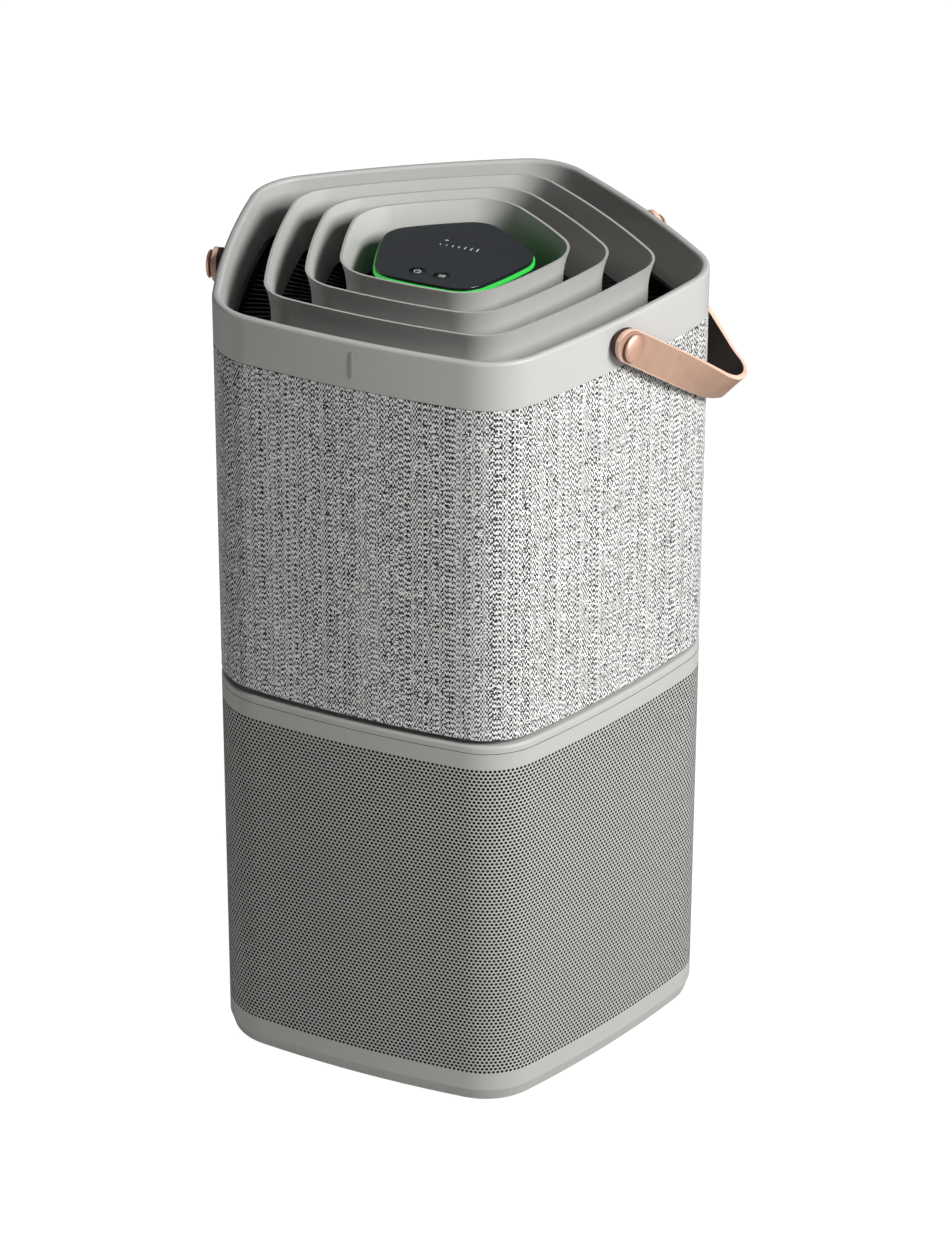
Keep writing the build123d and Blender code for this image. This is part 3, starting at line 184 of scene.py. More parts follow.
def melange_cloth():
    """Woven melange cloth, a rib weave of off-white and charcoal yarns about 1 mm apart.

    UV is in metres round and up the cloth. Each warp floats over two rows, each yarn has its own
    tone, and slubs change the tone along a yarn. The real yarns are finer than this.
    """
    mat, tree, shader = new_material("woven_melange_cloth", "#A9A9A6", 0.88, Sheen_Weight=0.15,
                                     Sheen_Roughness=0.5, Specular_IOR_Level=0.2)
    weave = add(tree, "SeparateXYZ", {0: add(tree, "UVMap", uv_map="weave")})
    column = add(tree, "Math", {0: weave.outputs[0], 1: YARN}, operation="DIVIDE")
    row = add(tree, "Math", {0: weave.outputs[1], 1: YARN}, operation="DIVIDE")
    column_no = add(tree, "Math", {0: column}, operation="FLOOR")
    row_no = add(tree, "Math", {0: row}, operation="FLOOR")
    cell = add(tree, "CombineXYZ", {0: column_no, 1: row_no})
    fleck = add(tree, "TexWhiteNoise", {"Vector": cell}, noise_dimensions="2D")
    # a warp lies over two rows and under two, its neighbour the other way round; one warp in three
    # starts a row late, and one cell in twelve is a float, out of turn
    chance = add(tree, "Math", {0: fleck, 1: 1.09}, operation="MULTIPLY")
    float_here = add(tree, "Math", {0: chance}, operation="FLOOR")
    late = add(tree, "TexWhiteNoise", {"W": add(tree, "Math", {0: column_no, 1: 31.0}, operation="ADD")},
               noise_dimensions="1D")
    starts_late = add(tree, "Math", {0: late, 1: 0.34}, operation="LESS_THAN")
    turn = add(tree, "Math", {0: column_no, 1: 2.0, 2: starts_late}, operation="MULTIPLY_ADD")
    turn = add(tree, "Math", {0: turn, 1: row_no}, operation="ADD")
    turn = add(tree, "Math", {0: float_here, 1: 2.0, 2: turn}, operation="MULTIPLY_ADD")
    step = add(tree, "Math", {0: turn, 1: 4.0}, operation="MODULO")
    warp_up = add(tree, "Math", {0: step, 1: 1.5}, operation="LESS_THAN")
    # a yarn's shade is its own tone, slubs drawn out along it, and a fleck in each cell
    off_middle = add(tree, "Math", {0: fleck, 1: 0.5}, operation="SUBTRACT")
    weft_no = add(tree, "Math", {0: row_no, 1: 907.0}, operation="ADD")
    warp_place = add(tree, "CombineXYZ", {0: add(tree, "Math", {0: column_no, 1: 3.7}, operation="MULTIPLY"),
                                          1: add(tree, "Math", {0: row, 1: 0.16}, operation="MULTIPLY")})
    weft_place = add(tree, "CombineXYZ", {0: add(tree, "Math", {0: column, 1: 0.16}, operation="MULTIPLY"),
                                          1: add(tree, "Math", {0: row_no, 1: 3.7}, operation="MULTIPLY"),
                                          2: 9.0})
    yarns = []
    for number, place, shares, stops in (
        (column_no, warp_place, (0.42, 0.55, 0.22), ((0.28, "#0C0D0D"), (0.5, "#3E3F3F"), (0.7, "#B4B5B2"))),
        (weft_no, weft_place, (0.36, 0.50, 0.12), ((0.14, "#A8A8A5"), (0.30, "#F4F4F2"), (0.6, "#FFFFFF"))),
    ):
        tone = add(tree, "TexWhiteNoise", {"W": number}, noise_dimensions="1D")
        slub = add(tree, "TexNoise", {"Vector": place, "Scale": 1.0, "Detail": 2.0})
        shade = add(tree, "Math", {0: tone, 1: shares[0]}, operation="MULTIPLY")
        shade = add(tree, "Math", {0: slub, 1: shares[1], 2: shade}, operation="MULTIPLY_ADD")
        shade = add(tree, "Math", {0: off_middle, 1: shares[2], 2: shade}, operation="MULTIPLY_ADD")
        yarn = add(tree, "ValToRGB", {0: shade})
        marks = yarn.color_ramp.elements
        marks.new(0.5)
        for mark, (spot, code) in zip(marks, stops):
            mark.position, mark.color = spot, linear(code)
        yarns.append(yarn)
    warp, weft = yarns
    woven = add(tree, "Mix", {0: warp_up, 6: weft.outputs[0], 7: warp.outputs[0]}, data_type="RGBA")
    # a yarn is round: painted shade darkens the gaps between yarns, and the bump raises its middle
    rounds = []
    for across in (column, row):
        phase = add(tree, "Math", {0: across}, operation="FRACT")
        angle = add(tree, "Math", {0: phase, 1: pi}, operation="MULTIPLY")
        rounds.append(add(tree, "Math", {0: angle}, operation="SINE"))
    height = add(tree, "Math", {0: rounds[0], 1: rounds[1]}, operation="MULTIPLY")
    crown = add(tree, "Math", {0: height, 1: 0.35}, operation="POWER")
    gap = add(tree, "Math", {0: 1.0, 1: crown}, operation="SUBTRACT")
    # painted shade: the colour goes a third of the way to near-black in the gaps
    shadow = add(tree, "Math", {0: gap, 1: 0.34}, operation="MULTIPLY")
    colour = add(tree, "Mix", {0: shadow, 6: woven.outputs[2], 7: linear("#0C0D0D")}, data_type="RGBA")
    tree.links.new(colour.outputs[2], shader.inputs["Base Color"])
    bump = add(tree, "Bump", {"Height": height, "Strength": 0.5, "Distance": 0.25 * MM})
    tree.links.new(bump.outputs[0], shader.inputs["Normal"])
    return mat


def lit_guide(name, colour, strength):
    """A frosted acrylic light guide: it glows evenly, a little stronger in cloudy patches."""
    mat, tree, shader = new_material(name, colour, 0.35)
    place = add(tree, "TexCoord").outputs["Object"]
    cloud = add(tree, "TexNoise", {"Vector": place, "Scale": 60.0})
    glow = add(tree, "MapRange", {"Value": cloud, "To Min": strength * 0.9, "To Max": strength * 1.1})
    shader.inputs["Emission Color"].default_value = linear(colour)
    tree.links.new(glow.outputs[0], shader.inputs["Emission Strength"])
    return mat


def smoked_glass():
    """Back-painted black glass: a clear gloss over near-black, with the faint waviness of float glass."""
    mat, tree, shader = new_material("back_painted_glass", "#15181B", 0.2, IOR=1.52)
    shader.inputs["Coat Weight"].default_value = 0.4
    shader.inputs["Coat Roughness"].default_value = 0.05
    place = add(tree, "TexCoord").outputs["Object"]
    cloud = add(tree, "TexNoise", {"Vector": place, "Scale": 20.0})
    colour = add(tree, "Mix", {0: cloud, 6: linear("#14171A"), 7: linear("#1C2024")}, data_type="RGBA")
    tree.links.new(colour.outputs[2], shader.inputs["Base Color"])
    return mat


PAINT = satin_paint()
FINISHES = {
    "shell": PAINT,
    "frame_plastic": moulded("moulded_polypropylene_grey", "#56565A", "#626266", 0.6),
    "dark_plastic": moulded("moulded_ABS_charcoal", "#141416", "#1C1C1F", 0.6),
    "black_plastic": moulded("moulded_ABS_black", "#070808", "#0C0D0E", 0.45),
    "rubber": moulded("moulded_rubber_black", "#101010", "#181818", 0.85, 0.9),
    "foam": moulded("closed_cell_foam", "#1B1B1C", "#29292B", 0.95, 0.8),
    "silicone": moulded("moulded_silicone", "#B4B4B2", "#C2C2C0", 0.5),
    "cable": moulded("PVC_cable_sheath", "#0C0C0C", "#141414", 0.5),
    "filter_plastic": moulded("filter_end_cap_ABS", "#D4D4D0", "#E0E0DC", 0.55),
    "filter_paper": moulded("pleated_filter_paper", "#DCDCD6", "#EFEFEA", 0.95, 0.4),
    "carbon": moulded("pressed_carbon_granules", "#050505", "#1A1A1B", 0.8, 1.2),
    "mesh": moulded("nonwoven_prefilter", "#2B2C2C", "#3A3B3B", 0.95, 0.4),
    "ribbon": moulded("woven_nylon_ribbon", "#2E5248", "#3A6356", 0.8, 0.5),
    "circuit_board": moulded("solder_masked_FR4", "#0B3A22", "#115030", 0.4),
    "gloss_black": moulded("polished_black_PMMA", "#0B0C0D", "#131517", 0.2, 2.0),
    "steel": rolled_metal("zinc_plated_steel", "#8F9193", "#B9BBBD", 0.38),
    "shaft_steel": rolled_metal("ground_steel", "#A0A2A4", "#C6C8CA", 0.22),
    "bearing_steel": rolled_metal("ground_bearing_steel", "#A8AAAC", "#CBCDCF", 0.2),
    "magnet": rolled_metal("nickel_plated_magnet", "#B4B2AC", "#D2D0CA", 0.2),
    "stator": rolled_metal("varnished_copper_winding", "#7A4326", "#B06A3C", 0.4, (14, 14, 1)),
    "pins": rolled_metal("nickel_brass_pins", "#B79A5C", "#D8BE84", 0.25),
    "badge": rolled_metal("anodised_aluminium", "#B9BBBA", "#D6D8D7", 0.34),
    "rivet": rolled_metal("turned_copper_alloy", "#E2B29B", "#F8D2BF", 0.55, (1, 1, 1)),
    "light_guide": lit_guide("frosted_acrylic_glowing", "#3FD655", 0.4),
    "led": lit_guide("lit_phosphor_LED", "#63E873", 1.0),
    "panel_glass": smoked_glass(),
    "sleeve": melange_cloth(),
    "leather": leather_face(),
}
LEATHER_EDGE = moulded("burnished_leather_edge", "#E3B9A2", "#F0CDBA", 0.5, 0.5)
LEATHER_BACK = moulded("dyed_leather_back", "#160C09", "#23130D", 0.75, 0.5)
LEATHER_PAD = moulded("dark_leather_washer", "#3A1E17", "#4E2A20", 0.6, 0.5)
# near-black and rough: painted shade inside the pierced casing, used behind the holes and on their walls; the
# filter it stands over is dark itself
SCREEN = moulded("black_screen_painted_shade", "#030303", "#060606", 0.95, 0.4)
PRINT = new_material("white_print_backlit", "#C9CFD0", 0.5)[0]
PRINT.node_tree.nodes["Principled BSDF"].inputs["Emission Color"].default_value = linear("#C9CFD0")
PRINT.node_tree.nodes["Principled BSDF"].inputs["Emission Strength"].default_value = 0.35

for row in frame["record"]["subparts"]:
    node = frame["nodes"][row["node"]]
    node.data.materials.clear()
    node.data.materials.append(FINISHES[row["material_slot"]])
    for kept in node.material_slots:
        kept.material = FINISHES[row["material_slot"]]


# ---- shapes worked out with numpy ------------------------------------------------------------
def piece(name, points, faces, materials, index=None, smooth=True, uv=None, sharp=None):
    """A mesh object at the origin from arrays of points in metres and of quads or triangles."""
    mesh = bpy.data.meshes.new(name)
    count, side = faces.shape
    mesh.vertices.add(len(points))
    mesh.vertices.foreach_set("co", np.ascontiguousarray(points, np.float32).ravel())
    mesh.loops.add(count * side)
    mesh.loops.foreach_set("vertex_index", np.ascontiguousarray(faces, np.int32).ravel())
    mesh.polygons.add(count)
    mesh.polygons.foreach_set("loop_start", np.arange(0, count * side, side, dtype=np.int32))
    if index is not None:
        mesh.polygons.foreach_set("material_index", np.asarray(index, np.int32))
    mesh.update(calc_edges=True)
    if smooth:
        mesh.shade_smooth()
    if sharp is not None:
        ends = np.empty(len(mesh.edges) * 2, np.int32)
        mesh.edges.foreach_get("vertices", ends)
        ends = ends.reshape(-1, 2)
        mark = mesh.attributes.new("sharp_edge", "BOOLEAN", "EDGE")
        mark.data.foreach_set("value", sharp[ends].all(1))
    if uv is not None:
        for label, values in uv.items():
            layer = mesh.uv_layers.new(name=label)
            layer.data.foreach_set("uv", np.ascontiguousarray(values[faces.ravel()], np.float32).ravel())
    for mat in materials:
        mesh.materials.append(mat)
    mesh.validate()
    made = bpy.data.objects.new(name, mesh)
    bpy.context.scene.collection.objects.link(made)
    return made


def grid(rows, columns, close_rows=False, close_columns=False):
    """Quads between neighbours of a grid of points numbered row by row, wrapped where it closes."""
    r = np.arange(rows if close_rows else rows - 1)[:, None]
    c = np.arange(columns if close_columns else columns - 1)[None, :]
    up, over = (r + 1) % rows, (c + 1) % columns
    return np.stack([r * columns + c, r * columns + over, up * columns + over, up * columns + c],
                    -1).reshape(-1, 4)


class Outline:
    """The rounded five-sided outline: shallow side arcs joined tangentially by corner arcs.

    at(s, inset) gives the point s millimetres round from the middle of the front side, counter-
    clockwise, moved inwards along the outline's normal by inset. Within an arc the normal's angle
    grows as s over its radius, and the point is the arc's centre plus radius times the normal.
    """

    def __init__(self, apothem, corner, bulge):
        reach = bulge - apothem
        along = reach * cos(HALF_STEP)
        self.far = sqrt(along ** 2 + (bulge - corner) ** 2 - reach ** 2) - along
        self.turn = atan2(self.far * sin(HALF_STEP), self.far * cos(HALF_STEP) + reach)
        self.reach, self.corner, self.bulge = reach, corner, bulge
        self.side = 2 * bulge * self.turn
        self.bend = 2 * corner * (HALF_STEP - self.turn)
        self.length = SIDES * (self.side + self.bend)

    def at(self, s, inset=0.0):
        local = (np.asarray(s, float) + self.side / 2) % (self.side + self.bend)
        number = np.floor((np.asarray(s, float) + self.side / 2) / (self.side + self.bend))
        middle = -pi / 2 + number * SIDE_STEP
        on_side = local < self.side
        angle = np.where(on_side, middle - self.turn + local / self.bulge,
                         middle + self.turn + (local - self.side) / self.corner)
        radius = np.where(on_side, self.bulge, self.corner)
        base = np.where(on_side, middle, middle + HALF_STEP)
        out = np.where(on_side, -self.reach, self.far)
        spread = radius - inset
        return (out * np.cos(base) + spread * np.cos(angle), out * np.sin(base) + spread * np.sin(angle))


BODY = Outline(APOTHEM, CORNER_R, BULGE_R)


def wrap_round(s, z, inset):
    """Flat coordinates (round, up, depth) wrapped on the body's outline, in metres."""
    x, y = BODY.at(s, inset)
    return np.stack([x, y, np.broadcast_to(z, x.shape)], -1) * MM


def turn_out(flat, faces):
    """Orders each flat face counterclockwise, so that it faces out once wrapped."""
    corners = flat[faces]
    following = np.roll(corners, -1, axis=1)
    area = (corners[..., 0] * following[..., 1] - corners[..., 1] * following[..., 0]).sum(1)
    faces = faces.copy()
    faces[area < 0] = faces[area < 0][:, ::-1]
    return faces


def open_edges(faces):
    """Directed edges that only one face uses."""
    a, b = faces.ravel(), np.roll(faces, -1, axis=1).ravel()
    size = int(faces.max()) + 1
    lone = ~np.isin(a.astype(np.int64) * size + b, b.astype(np.int64) * size + a)
    return np.stack([a[lone], b[lone]], -1)


def pierced_sheet(name, first, columns, z_low, plain, body):
    """A casing panel with a staggered pattern of holes, as one closed wall.

    Flat, the sheet is a honeycomb: six-sided tiles PITCH apart, each with a six-sided hole, so that
    every hole is ringed by six quads. It starts at first, millimetres round the outline. A plain
    border joins its zigzag to the straight edges above and below, and to those in plain at its two
    ends; an end of None stays zigzag and meets the next panel. The sheet is then wrapped on the
    outline, and walls close its edges and line its holes.
    """
    rows = int((HOLES_TOP - HOLES_Z - PITCH / sqrt(3)) // ROW)
    z0 = (HOLES_Z + HOLES_TOP) / 2 - (rows - 1) * ROW / 2
    q, half = PITCH / (2 * sqrt(3)), PITCH / 2
    row, column = np.meshgrid(np.arange(rows), np.arange(columns), indexing="ij")
    centre = np.stack([first + half + column * PITCH + (row % 2) * half, z0 + row * ROW], -1)
    centre = centre.reshape(-1, 1, 2)
    angle = np.arange(6) * pi / 3 - pi / 6
    ring = np.stack([np.cos(angle), np.sin(angle)], -1)
    tiles = len(centre)
    corners = centre + ring * PITCH / sqrt(3)
    flat = np.concatenate([corners, centre + ring * HOLE_R]).reshape(-1, 2)
    tile = np.arange(tiles)[:, None] * 6
    near, far = tile + np.arange(6), tile + (np.arange(6) + 1) % 6
    cut = np.zeros(tiles, bool)
    for low, high, bottom, top in WINDOWS:
        past = np.maximum(np.abs(centre[:, 0] - ((low + high) / 2, (bottom + top) / 2)) -
                          ((high - low) / 2, (top - bottom) / 2), 0)
        cut |= np.hypot(past[:, 0], past[:, 1]) < PITCH / sqrt(3) + 0.1
    front = [np.stack([near, far, far + tiles * 6, near + tiles * 6], -1)[~cut].reshape(-1, 4)]
    # the plain border: quads from each zigzag to a straight edge, then the corners
    n = np.arange(2 * columns + 1)
    level = np.repeat(np.arange(rows), 2)
    last = z0 + (rows - 1) * ROW
    low = np.stack([first + n * half, z0 - q - (n % 2) * q], -1)
    high = np.stack([first + (rows - 1) % 2 * half + n * half, last + q + (n % 2) * q], -1)
    left = np.stack([first + (level % 2) * half, z0 + level * ROW + np.tile([-q, q], rows)], -1)
    right = left + (columns * PITCH, 0)
    strips = [(low, low * (1, 0) + (0, z_low)), (high, high * (1, 0) + (0, LOWER_TOP))]
    for zigzag, edge, ends in ((left, plain[0], (low[0], high[0])), (right, plain[1], (low[-1], high[-1]))):
        if edge is not None:
            strips.append((zigzag, zigzag * (0, 1) + (edge, 0)))
            for end, z_edge in zip(ends, (z_low, LOWER_TOP)):
                front.append(len(flat) + np.arange(4)[None])
                flat = np.concatenate([flat, [(edge, z_edge), (end[0], z_edge), end, (edge, end[1])]])
    for zigzag, straight in strips:
        a = len(flat) + np.arange(len(zigzag) - 1)
        front.append(np.stack([a, a + 1, a + 1 + len(zigzag), a + len(zigzag)], -1))
        flat = np.concatenate([flat, zigzag, straight])
    front = turn_out(flat, np.concatenate(front))
    # neighbouring tiles share their points
    _, kept, merged = np.unique(np.round(flat * 1000).astype(np.int64), axis=0, return_index=True,
                                return_inverse=True)
    flat, front = flat[kept], merged.ravel()[front]
    # tiles cut away leave a zigzag, whose points move onto the window's straight edges
    edge = np.round(corners[cut].reshape(-1, 2) * 1000).astype(np.int64)
    place = np.round(flat * 1000).astype(np.int64)
    beside = np.isin(place[:, 0] * 10 ** 7 + place[:, 1], edge[:, 0] * 10 ** 7 + edge[:, 1])
    for window in WINDOWS:
        nearest = np.clip(flat, (window[0], window[2]), (window[1], window[3]))
        close = beside & (np.hypot(*(nearest - flat).T) < 2 * PITCH)
        flat = np.where(close[:, None], nearest, flat)
    used, front = np.unique(front, return_inverse=True)
    flat, front = flat[used], front.reshape(-1, 4)
    count, rim = len(flat), open_edges(front)
    wall = np.stack([rim[:, 1], rim[:, 0], rim[:, 0] + count, rim[:, 1] + count], -1)
    skins = [wrap_round(flat[:, 0], flat[:, 1], inset) for inset in (0.0, SKIN)]
    on_rim = np.zeros(count, bool)
    on_rim[rim.ravel()] = True
    faces = np.concatenate([front, front[:, ::-1] + count, wall])
    # the walls of the holes and the back take the near-black screen finish, painted shade that darkens the
    # holes; the front alone has the satin paint
    index = np.concatenate([np.zeros(len(front), int), np.ones(len(front) + len(wall), int)])
    made = piece(name, np.concatenate(skins), faces, [PAINT, SCREEN], index, sharp=np.tile(on_rim, 2))
    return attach(made, body)


def swept_band(name, s, profile, material, body):
    """A closed profile of (inset, height) points carried round the outline along s, with flat ends."""
    profile = np.asarray(profile, float)
    x, y = BODY.at(s[None, :], profile[:, 0][:, None])
    z = np.broadcast_to(profile[:, 1][:, None], x.shape)
    points = np.stack([x, y, z], -1).reshape(-1, 3) * MM
    ends = np.arange(len(profile)) * len(s)
    caps = [(ends[0], ends[1], ends[k], ends[k + 1]) for k in range(2, len(profile) - 1)]
    caps += [tuple(v + len(s) - 1 for v in cap[::-1]) for cap in caps]
    faces = np.concatenate([grid(len(profile), len(s), True, False), np.array(caps)])
    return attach(piece(name, points, faces, [material]), body)


# ---- pierced lower casing ---------------------------------------------------------------------
# the door's edges are where the back of the outline crosses x = +-DOOR_HALF
ROUND = np.linspace(0, BODY.length, 20001)
ROUND_X, ROUND_Y = BODY.at(ROUND)
DOOR_ARC = ROUND[(ROUND_Y > 0) & (np.abs(ROUND_X) < DOOR_HALF)]
DOOR_FROM, DOOR_TO = DOOR_ARC.min(), DOOR_ARC.max()
FRONT_FROM = DOOR_TO - BODY.length

# openings in the panels, as (from, to, low, high) round the outline and up: the grip and the inlet
GRIP_W, GRIP_H, GRIP_TOP = 60.0, 18.0, 268.0
INLET_W, INLET_H, INLET_Z, INLET_ALONG = 27.0, 20.0, 46.0, -62.0
GRIP_ARC = ROUND[(ROUND_Y > 0) & (np.abs(ROUND_X) < GRIP_W / 2)]
INLET_MID = INLET_ALONG - BODY.length / SIDES
GRIP_WINDOW = (GRIP_ARC.min(), GRIP_ARC.max(), GRIP_TOP - GRIP_H, GRIP_TOP)
INLET_WINDOW = (INLET_MID - INLET_W / 2, INLET_MID + INLET_W / 2, INLET_Z - INLET_H / 2, INLET_Z + INLET_H / 2)
WINDOWS = (GRIP_WINDOW, INLET_WINDOW)
CUTS = 5
FRONT_COLUMNS = int((DOOR_FROM - FRONT_FROM - 2 * PLAIN_EDGE) // PITCH)
FRONT_FIRST = (DOOR_FROM + FRONT_FROM - (FRONT_COLUMNS + 0.5) * PITCH) / 2
shares = np.linspace(0, FRONT_COLUMNS, CUTS + 1).astype(int)
for k in range(CUTS):
    ends = (FRONT_FROM if k == 0 else None, DOOR_FROM if k == CUTS - 1 else None)
    sheet_part = pierced_sheet("pierced_shell_%d" % (k + 1), FRONT_FIRST + shares[k] * PITCH,
                               shares[k + 1] - shares[k], SHELL_Z, ends, "housing")
    if k == 0:
        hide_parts("lower_shell")
DOOR_LOW, DOOR_HIGH = DOOR_FROM + DOOR_SEAM, DOOR_TO - DOOR_SEAM
DOOR_COLUMNS = int((DOOR_HIGH - DOOR_LOW - 2 * PLAIN_EDGE) // PITCH)
DOOR_FIRST = (DOOR_LOW + DOOR_HIGH - (DOOR_COLUMNS + 0.5) * PITCH) / 2
shares = np.linspace(0, DOOR_COLUMNS, 4).astype(int)
for k in range(3):
    ends = (DOOR_LOW if k == 0 else None, DOOR_HIGH if k == 2 else None)
    sheet_part = pierced_sheet("pierced_door_%d" % (k + 1), DOOR_FIRST + shares[k] * PITCH,
                               shares[k + 1] - shares[k], DOOR_Z, ends, "door")
    if k == 0:
        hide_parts("rear_door")

# a near-black screen lies just behind the holes, so that only darkness shows through them: painted shade for
# the inside of the casing, over the filter behind, which is dark itself; four strips of it go round each
# window
SCREEN_IN, SCREEN_OUT = SKIN + 0.7, SKIN + 0.25
MARGIN = 6.0
ROOM = 3.0
for label, low, high, window, rider in (
    ("shade_screen_shell", FRONT_FROM + 1, DOOR_FROM - 1, INLET_WINDOW, "housing"),
    ("shade_screen_door", DOOR_LOW + 1, DOOR_HIGH - 1, GRIP_WINDOW, "door"),
):
    left, right, under, over = window[0] - ROOM, window[1] + ROOM, window[2] - ROOM, window[3] + ROOM
    floor_z, roof_z = HOLES_Z - MARGIN, HOLES_TOP + MARGIN
    strips = (("before", low, left, floor_z, roof_z), ("after", right, high, floor_z, roof_z),
              ("under", left, right, floor_z, under), ("over", left, right, over, roof_z))
    for part, start, stop, z0, z1 in strips:
        box = [(SCREEN_OUT, z0), (SCREEN_OUT, z1), (SCREEN_IN, z1), (SCREEN_IN, z0)]
        count = max(8, int((stop - start) / 2))
        swept_band(label + "_" + part, np.linspace(start, stop, count), box, SCREEN, rider)


# ---- fabric sleeve ------------------------------------------------------------------------------
def woven_sleeve():
    """The cloth: a tube round the outline, its profile one line with both hems rolled under.

    Going up, the inset is the hem's small roll at each end and nearly nothing between, where the
    cloth lies tight on the casing. UVs are metres round and up. Solidify then gives it thickness.
    """
    turns = 720
    s = np.linspace(0, BODY.length, turns + 1)
    roll = np.linspace(-pi / 2, pi / 2, 7)
    bottom = np.stack([1.0 - 1.0 * np.cos(roll[:4]), FABRIC_Z + 0.2 + 0.9 + 0.9 * np.sin(roll[:4])], -1)
    top = np.stack([1.0 - 1.0 * np.cos(roll[3:]), FABRIC_TOP - 1.1 + 0.9 * np.sin(roll[3:])], -1)
    rise = np.linspace(FABRIC_Z + 3, FABRIC_TOP - 3, 64)
    # the hem's inner fold shows as a shallow groove three millimetres above the edge
    body = np.stack([0.05 + 0.25 * np.exp(-((rise - FABRIC_Z - 6) / 1.6) ** 2), rise], -1)
    profile = np.concatenate([bottom, body, top])
    x, y = BODY.at(s[None, :], profile[:, 0][:, None])
    z = np.broadcast_to(profile[:, 1][:, None], x.shape)
    points = np.stack([x, y, z], -1).reshape(-1, 3) * MM
    uv = np.stack([np.broadcast_to(s[None, :], x.shape), z], -1).reshape(-1, 2) * MM
    faces = grid(len(profile), turns + 1)
    made = piece("woven_sleeve", points, faces, [FINISHES["sleeve"]], uv={"weave": uv})
    merge_seam(made)
    return made


def merge_seam(made):
    """Joins the first and last column of points, which lie on each other; each corner keeps its UV."""
    work = bmesh.new()
    work.from_mesh(made.data)
    bmesh.ops.remove_doubles(work, verts=work.verts, dist=1e-6)
    work.to_mesh(made.data)
    work.free()


sleeve = woven_sleeve()
solid = sleeve.modifiers.new("cloth_thickness", "SOLIDIFY")
solid.thickness, solid.offset = 0.8 * MM, -1.0
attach(sleeve, "housing")
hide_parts("fabric_sleeve")

# ---- leather handles ----------------------------------------------------------------------------
RIVET_Z = 572.5
STRAP_W = 24.0
STRAP_T = 3.6
STRAP_OUT = 6.8
STRAP_GRADE = tan(radians(34.0))
STRAP_BEND_R = 22.0
STRAP_LEAN = radians(42.0)
STRAP_EASE = 15.0
STRAP_LEAN_FROM = 30.0
PLAN_REACH = (APOTHEM + STRAP_OUT - STRAP_BEND_R) * tan(HALF_STEP)
PLAN_END = PLAN_REACH + STRAP_BEND_R * HALF_STEP
TAB_PAD = 3.0
TAB_LONG = 18.2


def strap_line(corner, hand, run):
    """Frames along a strap, run millimetres from its rivet towards the corner, as the CAD part has them.

    In plan the strap runs straight along the side, then bends round the corner. It falls at a
    steady slope that levels out at the bend, and its width direction leans outwards on the way.
    """
    run = np.asarray(run, float)[:, None]
    u = np.array([cos(corner), sin(corner), 0.0])
    h = np.array([-u[1], u[0], 0.0]) * hand
    normal = u * cos(HALF_STEP) + h * sin(HALF_STEP)
    ahead = u * sin(HALF_STEP) - h * cos(HALF_STEP)
    turn = np.maximum(run - PLAN_REACH, 0) / STRAP_BEND_R
    out = normal * np.cos(turn) + ahead * np.sin(turn)
    heading = ahead * np.cos(turn) - normal * np.sin(turn)
    spot = normal * (APOTHEM + STRAP_OUT) + ahead * np.minimum(run, PLAN_REACH) + (out - normal) * STRAP_BEND_R
    level = PLAN_REACH - STRAP_EASE
    past = np.maximum(run - level, 0)
    span = PLAN_END - level
    up = np.array([0.0, 0.0, 1.0])
    spot = spot + up * (RIVET_Z - STRAP_GRADE * (np.minimum(run, level) + past - past ** 2 / (2 * span)))
    along = unit(heading - up * STRAP_GRADE * (1 - past / span))
    part = np.clip((run - STRAP_LEAN_FROM) / (PLAN_END - STRAP_LEAN_FROM), 0, 1)
    lean = STRAP_LEAN * part ** 2 * (3 - 2 * part)
    flat = unit(up - along * along[:, 2:])
    across = flat * np.cos(lean) + out * np.sin(lean)
    across = unit(across - along * (across * along).sum(1, keepdims=True))
    face = np.cross(along, across)
    face *= np.sign((face * out).sum(1, keepdims=True))
    return spot, across, face


def unit(v):
    return v / np.linalg.norm(v, axis=-1, keepdims=True)


